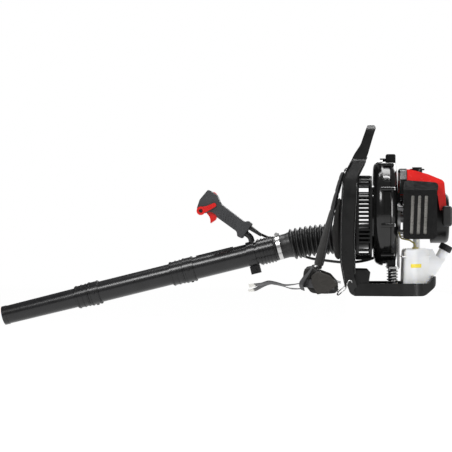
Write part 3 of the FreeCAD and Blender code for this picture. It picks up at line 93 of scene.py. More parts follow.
def noise_node(nodes, links, scale, detail=3.0, rough=0.55, stretch=(1, 1, 1)):
    """Cloudy noise over the object."""
    mapping = object_mapping(nodes, links, stretch)
    texture = nodes.new("ShaderNodeTexNoise")
    texture.inputs["Scale"].default_value = scale
    texture.inputs["Detail"].default_value = detail
    texture.inputs["Roughness"].default_value = rough
    links.new(mapping.outputs["Vector"], texture.inputs["Vector"])
    return texture


def wave_node(nodes, links, scale, direction):
    """Soft bands across one axis of the object."""
    mapping = object_mapping(nodes, links)
    texture = nodes.new("ShaderNodeTexWave")
    texture.bands_direction = direction
    texture.inputs["Scale"].default_value = scale
    texture.inputs["Distortion"].default_value = 0.4
    texture.inputs["Detail"].default_value = 1.0
    links.new(mapping.outputs["Vector"], texture.inputs["Vector"])
    return texture


def paint(nodes, links, shader, fac, dark, light, low=0.3, high=0.7):
    """Colours a surface between two shades as fac goes from low to high."""
    ramp = nodes.new("ShaderNodeValToRGB")
    ramp.color_ramp.elements[0].position = low
    ramp.color_ramp.elements[1].position = high
    ramp.color_ramp.elements[0].color = (*dark, 1)
    ramp.color_ramp.elements[1].color = (*light, 1)
    links.new(fac, ramp.inputs["Fac"])
    links.new(ramp.outputs["Color"], shader.inputs["Base Color"])


def gloss(nodes, links, shader, fac, low, high):
    """Lets a surface's roughness wander between two values."""
    span = nodes.new("ShaderNodeMapRange")
    span.inputs["From Min"].default_value = 0.25
    span.inputs["From Max"].default_value = 0.75
    span.inputs["To Min"].default_value = low
    span.inputs["To Max"].default_value = high
    links.new(fac, span.inputs["Value"])
    links.new(span.outputs["Result"], shader.inputs["Roughness"])


def add_bump(nodes, links, shader, height, strength, distance, before=None):
    """Fine relief in a surface, on top of any relief before it."""
    bump = nodes.new("ShaderNodeBump")
    bump.inputs["Strength"].default_value = strength
    bump.inputs["Distance"].default_value = distance
    links.new(height, bump.inputs["Height"])
    if before is not None:
        links.new(before, bump.inputs["Normal"])
    links.new(bump.outputs["Normal"], shader.inputs["Normal"])
    return bump.outputs["Normal"]


def moulded(name, dark, light, rough, grain=700.0, bump=0.25, distance=0.0002, coat=0.0, ior=1.5):
    """Moulded plastic: faint mottling, a grained or polished skin, and dull scuffs in the gloss."""
    mat, nodes, links, shader = new_material(name)
    mottle = noise_node(nodes, links, 22.0, 4.0)
    paint(nodes, links, shader, mottle.outputs["Fac"], dark, light)
    scuff = noise_node(nodes, links, 60.0, 6.0, 0.7)
    gloss(nodes, links, shader, scuff.outputs["Fac"], rough - 0.06, rough + 0.1)
    skin = noise_node(nodes, links, grain, 2.0, 0.5)
    waves = noise_node(nodes, links, 45.0, 1.0, 0.4)
    first = add_bump(nodes, links, shader, waves.outputs["Fac"], 0.05, 0.0005)
    add_bump(nodes, links, shader, skin.outputs["Fac"], bump, distance, first)
    shader.inputs["IOR"].default_value = ior
    shader.inputs["Coat Weight"].default_value = coat
    shader.inputs["Coat Roughness"].default_value = 0.1
    return mat


def metal(name, dark, light, rough, stretch=(1, 1, 1), scale=300.0, bump=0.2, distance=0.0001):
    """Metal with a directional or cast surface."""
    mat, nodes, links, shader = new_material(name)
    shader.inputs["Metallic"].default_value = 1.0
    stain = noise_node(nodes, links, 40.0, 5.0, 0.6)
    paint(nodes, links, shader, stain.outputs["Fac"], dark, light)
    lines = noise_node(nodes, links, scale, 3.0, 0.6, stretch)
    gloss(nodes, links, shader, lines.outputs["Fac"], rough - 0.08, rough + 0.12)
    add_bump(nodes, links, shader, lines.outputs["Fac"], bump, distance)
    return mat


def rubber(name, dark, light, rough=0.55):
    """Matt rubber with a powdery bloom."""
    mat, nodes, links, shader = new_material(name)
    bloom = noise_node(nodes, links, 90.0, 6.0, 0.65)
    paint(nodes, links, shader, bloom.outputs["Fac"], dark, light, 0.35, 0.75)
    gloss(nodes, links, shader, bloom.outputs["Fac"], rough - 0.08, rough + 0.14)
    grit = noise_node(nodes, links, 1400.0, 2.0)
    add_bump(nodes, links, shader, grit.outputs["Fac"], 0.25, 0.00015)
    return mat


def woven(name, dark, light, pitch, rough=0.85, sheen=0.25, depth=0.0003):
    """Nylon cloth: two crossed sets of yarns, with a painted highlight on the yarns and painted shade between
    them.
    """
    mat, nodes, links, shader = new_material(name)
    scale = 1.0 / pitch / 3.2
    warp = wave_node(nodes, links, scale, "X")
    weft = wave_node(nodes, links, scale, "Z")
    both = nodes.new("ShaderNodeMath")
    both.operation = "MULTIPLY"
    links.new(warp.outputs["Fac"], both.inputs[0])
    links.new(weft.outputs["Fac"], both.inputs[1])
    fade = noise_node(nodes, links, 35.0, 4.0)
    mixed = nodes.new("ShaderNodeMath")
    mixed.operation = "MULTIPLY_ADD"
    links.new(fade.outputs["Fac"], mixed.inputs[0])
    mixed.inputs[1].default_value = 0.45
    links.new(both.outputs["Value"], mixed.inputs[2])
    # Painted light and shade: the colour is lighter on the yarn crests and darker in the gaps between yarns,
    # over a random fade.
    paint(nodes, links, shader, mixed.outputs["Value"], dark, light, 0.15, 1.1)
    shader.inputs["Roughness"].default_value = rough
    shader.inputs["Sheen Weight"].default_value = sheen
    shader.inputs["Sheen Roughness"].default_value = 0.5
    crease = noise_node(nodes, links, 18.0, 3.0, 0.5)
    first = add_bump(nodes, links, shader, crease.outputs["Fac"], 0.35, 0.002)
    add_bump(nodes, links, shader, both.outputs["Value"], 0.6, depth, first)
    return mat


BLACK = moulded("black_moulding", (0.004, 0.004, 0.004), (0.009, 0.009, 0.009), 0.3, 900.0, 0.25, ior=1.38)
GLOSS = moulded(
    "gloss_black", (0.004, 0.004, 0.004), (0.008, 0.008, 0.008), 0.17, 500.0, 0.05, coat=0.3, ior=1.38
)
PIPE_BLACK = moulded(
    "pipe_black", (0.006, 0.006, 0.0065), (0.011, 0.011, 0.012), 0.27, 420.0, 0.1, coat=0.15, ior=1.42
)
RED = moulded("red_moulding", (0.55, 0.008, 0.007), (0.68, 0.014, 0.01), 0.22, 500.0, 0.06, coat=0.4)
GRIP = moulded("grip_grey", (0.022, 0.023, 0.025), (0.036, 0.037, 0.04), 0.52, 620.0, 0.7, 0.0004)
ALLOY = metal(
    "cast_alloy", (0.46, 0.46, 0.47), (0.62, 0.62, 0.62), 0.42, scale=500.0, bump=0.5, distance=0.0002
)
STEEL = metal("zinc_steel", (0.46, 0.46, 0.46), (0.62, 0.62, 0.61), 0.28, (1, 14, 14), 160.0)
MUFFLER = metal("muffler_steel", (0.42, 0.41, 0.38), (0.62, 0.6, 0.56), 0.3, (1, 8, 8), 120.0)
DARK_STEEL = metal("black_steel", (0.02, 0.02, 0.02), (0.05, 0.05, 0.05), 0.4, (1, 8, 8), 140.0)
BEARING = metal("bearing_steel", (0.5, 0.5, 0.52), (0.66, 0.66, 0.68), 0.18, (20, 1, 1), 140.0)
RUBBER = rubber("black_rubber", (0.006, 0.006, 0.006), (0.014, 0.014, 0.014), 0.38)
AMBER = rubber("clear_rubber", (0.42, 0.30, 0.09), (0.56, 0.42, 0.16), 0.3)
HOSE = rubber("fuel_hose", (0.50, 0.42, 0.12), (0.66, 0.56, 0.2), 0.3)
FOAM = rubber("filter_foam", (0.10, 0.10, 0.10), (0.2, 0.2, 0.2), 0.9)
CORD = woven("cord_fabric", (0.012, 0.012, 0.012), (0.05, 0.05, 0.05), 0.0012, depth=0.0002)
FABRIC = woven("black_fabric", (0.006, 0.0056, 0.005), (0.017, 0.016, 0.0145), 0.0016, sheen=0.08)
# Painted light: the hip pads' black cloth painted about twice as light, so the folded flap looks lit against
# the pad behind it.
FLAP = woven("flap_fabric_painted_light", (0.014, 0.0125, 0.0105), (0.04, 0.036, 0.031), 0.0016, sheen=0.15)
WEBBING = woven("black_webbing", (0.012, 0.012, 0.013), (0.05, 0.05, 0.055), 0.0024, rough=0.6, sheen=0.15)


def tank_material():
    """Natural polyethylene: milky, lit from inside, with faint flow marks."""
    mat, nodes, links, shader = new_material("tank_plastic")
    flow = noise_node(nodes, links, 14.0, 3.0, 0.5, (1, 1, 2.5))
    paint(nodes, links, shader, flow.outputs["Fac"], (0.84, 0.83, 0.79), (0.94, 0.93, 0.90))
    gloss(nodes, links, shader, flow.outputs["Fac"], 0.3, 0.44)
    shader.inputs["Subsurface Weight"].default_value = 0.55
    shader.inputs["Subsurface Radius"].default_value = (0.02, 0.018, 0.014)
    shader.inputs["Subsurface Scale"].default_value = 0.6
    shader.inputs["IOR"].default_value = 1.5
    skin = noise_node(nodes, links, 600.0, 2.0)
    add_bump(nodes, links, shader, skin.outputs["Fac"], 0.2, 0.0002)
    return mat


TANK = tank_material()
SLOT_MATERIAL = {
    "black_moulding": BLACK, "gloss_black": GLOSS, "red_moulding": RED, "grip_grey": GRIP,
    "tank_plastic": TANK, "cast_alloy": ALLOY, "muffler_steel": MUFFLER, "zinc_steel": STEEL,
    "bearing_steel": BEARING, "black_rubber": RUBBER, "clear_rubber": AMBER, "fuel_hose": HOSE,
    "filter_foam": FOAM, "cord_fabric": CORD, "black_fabric": FABRIC,
}
FINISH = {n: PIPE_BLACK for n in ("pipe_upper", "pipe_middle", "nozzle", "swivel_collar", "handle_clamp")}
FINISH["handle_screws"] = DARK_STEEL


def dress(obj, mat):
    """Gives an object a material and leaves its mesh as it is."""
    if not obj.material_slots:
        obj.data.materials.append(mat)
    for place in obj.material_slots:
        place.link = "OBJECT"
        place.material = mat


for part in frame["record"]["subparts"]:
    dress(NODES[part["node"]], FINISH.get(part["node"], SLOT_MATERIAL[part["material_slot"]]))


# ---------------------------------------------------------------- helpers

def piece(name, bm, mat, body, smooth=True, bevel=0.0):
    """A finished mesh piece that rides on a body."""
    mesh = bpy.data.meshes.new(name)
    bmesh.ops.recalc_face_normals(bm, faces=bm.faces)
    bm.to_mesh(mesh)
    bm.free()
    for face in mesh.polygons:
        face.use_smooth = smooth
    obj = bpy.data.objects.new(name, mesh)
    bpy.context.collection.objects.link(obj)
    mesh.materials.append(mat)
    if bevel:
        mod = obj.modifiers.new("edges", "BEVEL")
        mod.width = bevel
        mod.segments = 2
        mod.limit_method = "ANGLE"
        mod.harden_normals = False
    if body:
        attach(obj, body)
    return obj


# ---------------------------------------------------------------- stage

FLOOR_DROP = 0.26
PLINTH = 0.30
PLINTH_X = 0.02
PLINTH_GAP = 0.0006


def stage():
    """A bright floor, low enough for the drooping pipe, and a plinth under the base of the machine."""
    low = cad_box[0][2] - FLOOR_DROP
    bpy.ops.mesh.primitive_plane_add(size=24, location=(-0.5, 0, low))
    floor = bpy.context.object
    floor.name = "floor"
    bm = bmesh.new()
    bmesh.ops.create_cube(bm, size=1.0)
    for v in bm.verts:
        height = v.co.z * (-low - PLINTH_GAP) + low / 2
        v.co = Vector((v.co.x * PLINTH + PLINTH_X, v.co.y * PLINTH, height))
    mat, nodes, links, shader = new_material("floor_paint")
    plinth = piece("plinth", bm, mat, None, False, bevel=0.006)
    shade = noise_node(nodes, links, 3.0, 2.0)
    paint(nodes, links, shader, shade.outputs["Fac"], (0.11, 0.11, 0.11), (0.13, 0.13, 0.13))
    shader.inputs["Roughness"].default_value = 0.9
    shader.inputs["Emission Color"].default_value = (1, 1, 1, 1)
    shader.inputs["Emission Strength"].default_value = 0.96
    for obj in (floor, plinth):
        dress(obj, mat)


stage()


def aim(obj, target):
    """Turns a light or a camera towards a point."""
    way = Vector(target) - obj.location
    obj.rotation_euler = way.to_track_quat("-Z", "Y").to_euler()


def light(name, place, target, size, power):
    """A soft box at a place, turned to a target, in metres and watts."""
    data = bpy.data.lights.new(name, "AREA")
    data.shape = "RECTANGLE"
    data.size, data.size_y = size
    data.energy = power
    obj = bpy.data.objects.new(name, data)
    bpy.context.collection.objects.link(obj)
    obj.location = place
    aim(obj, target)


light("key", (-1.8, -2.4, 2.4), (-0.3, 0, 0.2), (1.4, 0.9), 66)
light("fill", (2.2, -2.4, 0.9), (-0.1, 0, 0.2), (0.7, 1.8), 44)
light("top", (-0.4, 0.7, 3.0), (-0.4, 0, 0.2), (2.6, 0.9), 66)
light("strip", (0.15, -0.13, 1.6), (0.08, -0.13, 0.3), (0.08, 0.4), 4.0)
light("rim", (0.6, 2.6, 1.4), (-0.3, 0, 0.2), (2.4, 1.4), 45)


def backdrop():
    """Plain white where the camera looks, and a dimmer sky that lights the machine."""
    world = bpy.data.worlds.new("studio")
    bpy.context.scene.world = world
    world.use_nodes = True
    tree = world.node_tree
    sky = tree.nodes["Background"]
    seen = tree.nodes.new("ShaderNodeBackground")
    for ground, strength in ((sky, 0.16), (seen, 1.0)):
        ground.inputs["Color"].default_value = (1, 1, 1, 1)
        ground.inputs["Strength"].default_value = strength
    ray = tree.nodes.new("ShaderNodeLightPath")
    mix = tree.nodes.new("ShaderNodeMixShader")
    tree.links.new(ray.outputs["Is Camera Ray"], mix.inputs["Fac"])
    tree.links.new(sky.outputs["Background"], mix.inputs[1])
    tree.links.new(seen.outputs["Background"], mix.inputs[2])
    tree.links.new(mix.outputs["Shader"], tree.nodes["World Output"].inputs["Surface"])
    bpy.context.scene.view_settings.view_transform = "Standard"


def camera():
    """A long lens, level with the pipe, on the wearer's left."""
    data = bpy.data.cameras.new("camera")
    data.lens = 132.8
    data.sensor_width = 36.0
    obj = bpy.data.objects.new("camera", data)
    bpy.context.collection.objects.link(obj)
    obj.location = (-0.160, -5.0, 0.180)
    aim(obj, (-0.495, 0, 0.205))
    bpy.context.scene.camera = obj


backdrop()
camera()


# ---------------------------------------------------------------- shared geometry

def at(x, y, z):
    """A point given in millimetres."""
    return Vector((x, y, z)) * MM


PITCH = math.radians(13.9)
YAW = math.radians(3.0)
PIPE_WAY = Vector((-math.cos(PITCH) * math.cos(YAW), math.cos(PITCH) * math.sin(YAW), -math.sin(PITCH)))
PIPE_SIDE = Vector((-math.sin(YAW), -math.cos(YAW), 0))
PIPE_UP = PIPE_WAY.cross(PIPE_SIDE)
PIPE_START = at(-305, 212, 148)
BELLOWS_REAR = at(-128, 196, 171)
ELBOW_CORNER = at(-20, 168, 181)
ELBOW_WAY = (BELLOWS_REAR - ELBOW_CORNER).normalized()
GRIP_PITCH = math.radians(36.0)
GRIP_RUN = math.cos(GRIP_PITCH)
GRIP_X = Vector((-GRIP_RUN * math.cos(YAW), GRIP_RUN * math.sin(YAW), math.sin(GRIP_PITCH)))
GRIP_Y = -PIPE_SIDE
GRIP_Z = GRIP_X.cross(GRIP_Y)
GRIP_ORIGIN = PIPE_START + PIPE_WAY * 0.131 + PIPE_UP * 0.070


def in_grip(x, y, z):
    """A point in the grip's own axes: X to its head, Y away from the wearer, Z to the trigger."""
    return GRIP_ORIGIN + (GRIP_X * x + GRIP_Y * y + GRIP_Z * z) * MM


def along(distance):
    """The point of the pipe's axis at a distance from its start, in millimetres."""
    return PIPE_START + PIPE_WAY * (distance * MM)


def bridge(bm, rings, caps=True):
    """Quads between closed rings of equal count, and a face over each end."""
    around = len(rings[0])
    for low, high in zip(rings, rings[1:]):
        for step in range(around):
            after = (step + 1) % around
            bm.faces.new((low[step], low[after], high[after], high[step]))
    if caps:
        bm.faces.new(rings[0])
        bm.faces.new(rings[-1])


def ring_frames(points):
    """A square pair of directions at each point of a line, carried along without twist."""
    ways = []
    for index, point in enumerate(points):
        before = points[max(index - 1, 0)]
        after = points[min(index + 1, len(points) - 1)]
        ways.append((after - before).normalized())
    side = ways[0].orthogonal().normalized()
    frames = []
    for way in ways:
        side = (side - way * side.dot(way)).normalized()
        frames.append((side, way.cross(side)))
    return frames


def swept_tube(points, radii, around=32, closed_ends=True):
    """A round tube with its own radius at each point of its line."""
    bm = bmesh.new()
    rings = []
    for point, radius, (side, up) in zip(points, radii, ring_frames(points)):
        ring = []
        for step in range(around):
            turn = 2 * math.pi * step / around
            ring.append(bm.verts.new(point + (side * math.cos(turn) + up * math.sin(turn)) * radius))
        rings.append(ring)
    bridge(bm, rings, closed_ends)
    return bm


def smooth_line(points, count):
    """A Catmull-Rom line through points."""
    line = []
    last = len(points) - 1
    for step in range(count + 1):
        place = step / count * last
        index = min(int(place), last - 1)
        t = place - index
        a = points[max(index - 1, 0)]
        b = points[index]
        c = points[index + 1]
        d = points[min(index + 2, last)]
        square = (2 * a - 5 * b + 4 * c - d) * t * t
        cube = (3 * b - a - 3 * c + d) * t ** 3
        line.append(0.5 * ((2 * b) + (c - a) * t + square + cube))
    return line


def joined(parts):
    """Several bmeshes as one."""
    whole = bmesh.new()
    for part in parts:
        mesh = bpy.data.meshes.new("part")
        part.to_mesh(mesh)
        part.free()
        whole.from_mesh(mesh)
        bpy.data.meshes.remove(mesh)
    return whole


# ---------------------------------------------------------------- bellows

def bellows():
    """The flexible hose: a cuff on the elbow, twelve round folds on a smooth bend, and a cuff on the pipe."""
    points = []
    radii = []
    for distance, radius in ((-23, 42.0), (-22, 43.6), (-17, 43.6), (-16, 42.2), (-4, 42.2)):
        points.append(BELLOWS_REAR + ELBOW_WAY * distance * MM)
        radii.append(radius)
    span = (PIPE_START - BELLOWS_REAR).length
    folds = 12
    samples = folds * 12
    for step in range(samples + 1):
        t = step / samples
        a = 2 * t ** 3 - 3 * t ** 2 + 1
        b = t ** 3 - 2 * t ** 2 + t
        c = -2 * t ** 3 + 3 * t ** 2
        d = t ** 3 - t ** 2
        points.append(BELLOWS_REAR * a + ELBOW_WAY * span * b + PIPE_START * c + PIPE_WAY * span * d)
        swell = (0.5 - 0.5 * math.cos(2 * math.pi * folds * t)) ** 0.62
        radii.append(39.6 + 9.2 * swell)
    cuff = [(2, 40.2), (8, 38.4), (14, 37.8), (47, 37.8), (48, 39.0), (51, 39.0), (52, 37.6)]
    for distance, radius in cuff:
        points.append(along(distance))
        radii.append(radius)
    bm = swept_tube(points, [r * MM for r in radii], 64, False)
    obj = piece("bellows_folds", bm, RUBBER, None)
    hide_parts("bellows")
    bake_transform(obj)


bellows()


# ---------------------------------------------------------------- cable and starter rope

def nurbs(name, points):
    """A smooth curve near its control points, which passes through the first and the last."""
    data = bpy.data.curves.new(name, "CURVE")
    data.dimensions = "3D"
    data.resolution_u = 10
    spline = data.splines.new("NURBS")
    spline.points.add(len(points) - 1)
    for control, point in zip(spline.points, points):
        control.co = (*point, 1)
    spline.use_endpoint_u = True
    spline.order_u = 3
    obj = bpy.data.objects.new(name, data)
    bpy.context.collection.objects.link(obj)
    bpy.context.view_layer.update()
    return obj


def read_mesh(obj):
    """A new mesh of an object as its modifiers leave it."""
    depsgraph = bpy.context.evaluated_depsgraph_get()
    return bpy.data.meshes.new_from_object(obj.evaluated_get(depsgraph))


def cord_piece(name, points, radius, mat, slot, between, start, end, nodes, **facts):
    """A cord as a mesh tube along a NURBS route, with the CAD nodes it stands for hidden; the two bodies,
    start and end are not used.
    """
    curve = nurbs(name + "_route", points)
    route = read_mesh(curve)
    path = [v.co.copy() for v in route.vertices]
    bpy.data.meshes.remove(route)
    data = curve.data
    bpy.data.objects.remove(curve)
    bpy.data.curves.remove(data)
    obj = piece(name, swept_tube(path, [radius] * len(path), 20), mat, None)
    if nodes:
        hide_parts(*nodes)
    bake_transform(obj)


CABLE = [in_grip(-4, 0, -22), in_grip(-34, 0, -23.5)] + [
    at(-386, 238, 173), at(-340, 262, 154), at(-292, 268, 122), at(-248, 246, 104),
    at(-202, 208, 99), at(-150, 172, 93), at(-95, 158, 94), at(-42, 150, 108),
    at(8, 144, 146), at(28, 116, 196), at(28, 88, 246), at(48.5, 78, 260.8),
]
CLIP_1 = (CABLE[3] + CABLE[4]) / 2
CLIP_2 = (CABLE[6] + CABLE[7]) / 2
STRETCHES = (
    ("cable_handle", CABLE[:4] + [CLIP_1], ("pipe", "hose_end"), CABLE[1], CLIP_1, ["throttle_cable"]),
    ("cable_hose", [CLIP_1] + CABLE[4:7] + [CLIP_2], ("hose_end", "elbow"), CLIP_1, CLIP_2, []),
    ("cable_engine", [CLIP_2] + CABLE[7:], ("elbow", "root"), CLIP_2, CABLE[9], []),
)
for name, points, between, start, end, nodes in STRETCHES:
    cord_piece(
        name, points, 4.2 * MM, RUBBER, "black_rubber", between, start, end, nodes,
        far_end="object", stiffness="stiff", lay="loose",
    )

ROPE_WAY = Vector((0, -0.97996, -0.19921))
ROPE_EXIT = at(154, -76, 236)
ROPE = [at(154, -4.38, 250.56), ROPE_EXIT - ROPE_WAY * 0.02, ROPE_EXIT + ROPE_WAY * 0.034]
cord_piece(
    "starter_cord", ROPE, 2.0 * MM, CORD, "cord_fabric", ("root", "starter_handle"),
    ROPE_EXIT, ROPE_EXIT + ROPE_WAY * 0.026, ["starter_rope"],
    far_end="tool", stiffness="limp", lay="taut", with_pieces=["starter_grip"],
)


def strain_relief():
    """Ribbed rubber boot where the cable leaves the grip."""
    points = []
    radii = []
    for step in range(25):
        t = step / 24
        points.append(in_grip(-3 - 42 * t, 0, -22 - 1.5 * t))
        radii.append((7.4 - 2.6 * t + (0.5 if step % 3 == 0 else 0.0)) * MM)
    piece("cable_boot", swept_tube(points, radii, 28), RUBBER, "pipe")


strain_relief()


# ---------------------------------------------------------------- padded fabric

def cushion(name, node, keep, shrink, cap, voxel, channels, mat):
    """A stuffed pad: the CAD solid's shape a little smaller, remeshed and blown up as cloth, then sewn in."""
    source = NODES[node].data
    bm = bmesh.new()
    bm.from_mesh(source)
    unwanted = [v for v in bm.verts if not keep(v.co)]
    bmesh.ops.delete(bm, geom=unwanted, context="VERTS")
    bmesh.ops.remove_doubles(bm, verts=bm.verts, dist=0.00005)
    low = Vector([min(v.co[k] for v in bm.verts) for k in range(3)])
    high = Vector([max(v.co[k] for v in bm.verts) for k in range(3)])
    middle = (low + high) / 2
    for v in bm.verts:
        for k in range(3):
            half = (high[k] - low[k]) / 2
            v.co[k] = middle[k] + (v.co[k] - middle[k]) * (half - shrink) / half
    obj = piece(name, bm, mat, None)
    remesh = obj.modifiers.new("remesh", "REMESH")
    remesh.mode = "VOXEL"
    remesh.voxel_size = voxel
    mesh = read_mesh(obj)
    obj.modifiers.clear()
    obj.data = mesh
    rest = [v.co.copy() for v in mesh.vertices]
    cloth = obj.modifiers.new("cloth", "CLOTH")
    cloth.settings.use_pressure = True
    cloth.settings.uniform_pressure_force = 4.0
    cloth.settings.effector_weights.gravity = 0.0
    cloth.settings.mass = 0.15
    scene = bpy.context.scene
    for step in range(1, 21):
        scene.frame_set(step)
    grown = read_mesh(obj)
    obj.modifiers.clear()
    scene.frame_set(1)
    obj.data = grown
    mesh = obj.data
    if not mesh.materials:
        mesh.materials.append(mat)
    for vertex, start in zip(mesh.vertices, rest):
        move = vertex.co - start
        if move.length > cap:
            move = move.normalized() * cap
        vertex.co = start + move
        vertex.co += channels(vertex.co) * MM
        ripple = noise.noise(vertex.co * 38.0) * 0.0009 + noise.noise(vertex.co * 90.0) * 0.0004
        vertex.co += (start - middle).normalized() * ripple
    for face in mesh.polygons:
        face.use_smooth = True
    smooth = obj.modifiers.new("smooth", "SUBSURF")
    smooth.levels = 1
    smooth.render_levels = 1
    return obj


def back_channels(point):
    """Two sewn channels up the pad and three seams across its face."""
    depth = 0.0
    for y in (-36.0, 36.0):
        depth += 3.4 * math.exp(-((point.y / MM - y) / 3.2) ** 2)
    for z in (150.0, 200.0, 250.0):
        depth += 2.4 * math.exp(-((point.z / MM - z) / 3.0) ** 2)
    return Vector((min(depth, 4.0), 0, 0)) if point.x < -0.156 else Vector((0, 0, 0))


def hip_channels(point):
    """Long sewn channels along a hip pad."""
    depth = 0.0
    for z in (28.0, 56.0):
        line = z + (point.x / MM + 210) * 0.12
        depth += 2.2 * math.exp(-((point.z / MM - line) / 2.6) ** 2)
    outward = 1.0 if point.y > 0 else -1.0
    outside = abs(point.y) > 0.127
    return Vector((0, -outward * depth if outside else outward * depth, 0))


pad = cushion("back_pad_cushion", "back_pad", lambda p: True, 0.003, 0.006, 0.005, back_channels, FABRIC)
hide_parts("back_pad")
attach(pad, "root")
for side, word in ((-1, "left"), (1, "right")):
    near = lambda p, s=side: p.y * s > 0
    pad = cushion("hip_pad_" + word, "hip_pads", near, 0.004, 0.008, 0.004, hip_channels, FABRIC)
    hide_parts("hip_pads")
    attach(pad, "root")


STRAP_LINE = [(-142.5, 363), (-153.5, 334), (-175.5, 252), (-198.5, 163), (-217.5, 86)]
STRAP_Y = 66


def strap_turn(side, travel, across, rise):
    """Turns a strap's section about its own line, by more and more towards the strap's low end."""
    share = min(1.0, max(0.0, (travel - 0.3) / 0.6))
    angle = math.radians(-26.0) * side * share * share * (3 - 2 * share)
    cos, sin = math.cos(angle), math.sin(angle)
    return (across * cos - rise * sin, across * sin + rise * cos)


def shoulder_strap(side, word):
    """A padded strap: a pillow between sewn edges, quilted across, turned outwards low down."""
    points = smooth_line([at(x, 0, z) for x, z in STRAP_LINE], 90)
    around = 36
    bm = bmesh.new()
    rings = []
    total = len(points) - 1
    for index, point in enumerate(points):
        before = points[max(index - 1, 0)]
        after = points[min(index + 1, total)]
        way = (after - before).normalized()
        out = Vector((way.z, 0, -way.x))
        travel = index / total
        end = min(1.0, min(travel, 1 - travel) * 14 + 0.25)
        quilt = 1 - 0.22 * math.exp(-(((travel * 7) % 1 - 0.5) / 0.07) ** 2)
        wide = 26.5 * (0.88 + 0.12 * end)
        ring = []
        for step in range(around):
            turn = 2 * math.pi * step / around
            across = math.copysign(abs(math.cos(turn)) ** 0.55, math.cos(turn))
            rise = math.copysign(abs(math.sin(turn)) ** 0.85, math.sin(turn))
            seam = 1 - 0.3 * math.exp(-((abs(across) - 0.62) / 0.06) ** 2)
            thick = 6.8 * end * quilt * seam * (1 - 0.35 * across ** 4)
            wobble = noise.noise(point * 30 + Vector((across, side, rise))) * 0.8
            turned = strap_turn(side, travel, across * wide, thick * rise + wobble)
            place = point + out * turned[1] * MM + Vector((0, (side * STRAP_Y + turned[0]) * MM, 0))
            ring.append(bm.verts.new(place))
        rings.append(ring)
    bridge(bm, rings)
    obj = piece("shoulder_strap_" + word, bm, FABRIC, "root")
    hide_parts("shoulder_straps")
    binding = []
    for edge in (-1, 1):
        line = []
        for index in range(2, total - 1):
            way = (points[index + 1] - points[index - 1]).normalized()
            turned = strap_turn(side, index / total, edge * 26.6, 0.0)
            sideways = Vector((0, (side * STRAP_Y + turned[0]) * MM, 0))
            line.append(points[index] + Vector((way.z, 0, -way.x)) * turned[1] * MM + sideways)
        binding.append(swept_tube(line, [0.0021] * len(line), 12))
    piece("strap_binding_" + word, joined(binding), WEBBING, "root")


for side, word in ((-1, "left"), (1, "right")):
    shoulder_strap(side, word)


def ribbon(name, points, width, thickness, twists, tip=None):
    """Flat ribbed tape along points, turned about its own line by the angles in twists."""
    line = smooth_line(points, 22 * (len(points) - 1))
    count = len(line) - 1
    cross = 9
    bm = bmesh.new()
    rows = []
    for index, point in enumerate(line):
        before = line[max(index - 1, 0)]
        after = line[min(index + 1, count)]
        way = (after - before).normalized()
        place = index / count * (len(twists) - 1)
        low = min(int(place), len(twists) - 2)
        turn = math.radians(twists[low] + (twists[low + 1] - twists[low]) * (place - low))
        flat = Matrix.Rotation(turn, 3, way) @ Vector((0, 1, 0))
        flat = (flat - way * flat.dot(way)).normalized()
        out = way.cross(flat)
        rib = 0.12 * math.sin(index * 2.1)
        top = []
        bottom = []
        for step in range(cross):
            share = step / (cross - 1) * 2 - 1
            edge = 1 - 0.45 * share ** 6
            thick = (thickness / 2 * edge + rib) * MM
            centre = point + flat * share * width / 2 * MM
            top.append(bm.verts.new(centre + out * thick))
            bottom.append(bm.verts.new(centre - out * thick))
        rows.append(top + bottom[::-1])
    bridge(bm, rows)
    obj = piece(name, bm, WEBBING, "root")
    if tip is not None:
        obj.data.materials.append(tip)
        end = line[-1]
        for face in obj.data.polygons:
            if (face.center - end).length < 0.019:
                face.material_index = 1
    return obj


def tip_material():
    """Heat-sealed end of a belt: pale, hard and glossy."""
    mat, nodes, links, shader = new_material("sealed_tip")
    cloud = noise_node(nodes, links, 160.0, 3.0)
    paint(nodes, links, shader, cloud.outputs["Fac"], (0.55, 0.54, 0.5), (0.75, 0.74, 0.7))
    gloss(nodes, links, shader, cloud.outputs["Fac"], 0.3, 0.5)
    add_bump(nodes, links, shader, cloud.outputs["Fac"], 0.3, 0.0003)
    return mat


TIP = tip_material()
BELT_WIDTH = 25
upper = [(-141, 368.5), (-132, 375.6), (-104, 376.4)]
lower = [(-219, 76), (-205, 58), (-170, 42), (-151, 36)]
tails = {
    -1: [(-262, 38), (-290, 33), (-316, 31), (-340, 36), (-362, 39), (-384, 34), (-420, 29)],
    1: [(-262, 14), (-300, 14), (-336, 24), (-360, 31), (-384, 26), (-412, 11), (-434, 7)],
}
for side, word in ((-1, "left"), (1, "right")):
    tape = ribbon("upper_tape_" + word, [at(x, side * 62, z) for x, z in upper], 40, 2.2, [0, 0, 0])
    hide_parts("strap_webbing")
    low_line = [at(x, side * STRAP_Y, z) for x, z in lower]
    ribbon("lower_tape_" + word, low_line, BELT_WIDTH, 2.2, [0, 4, -4, 0])
    twist = [0, 6, 14, 22, 26, 18, 24] if side < 0 else [0, -6, 10, 20, 26, 22, 14]
    tail_line = [at(x, side * 112, z) for x, z in tails[side]]
    ribbon("belt_tail_" + word, tail_line, BELT_WIDTH, 2.4, twist, tip=TIP)


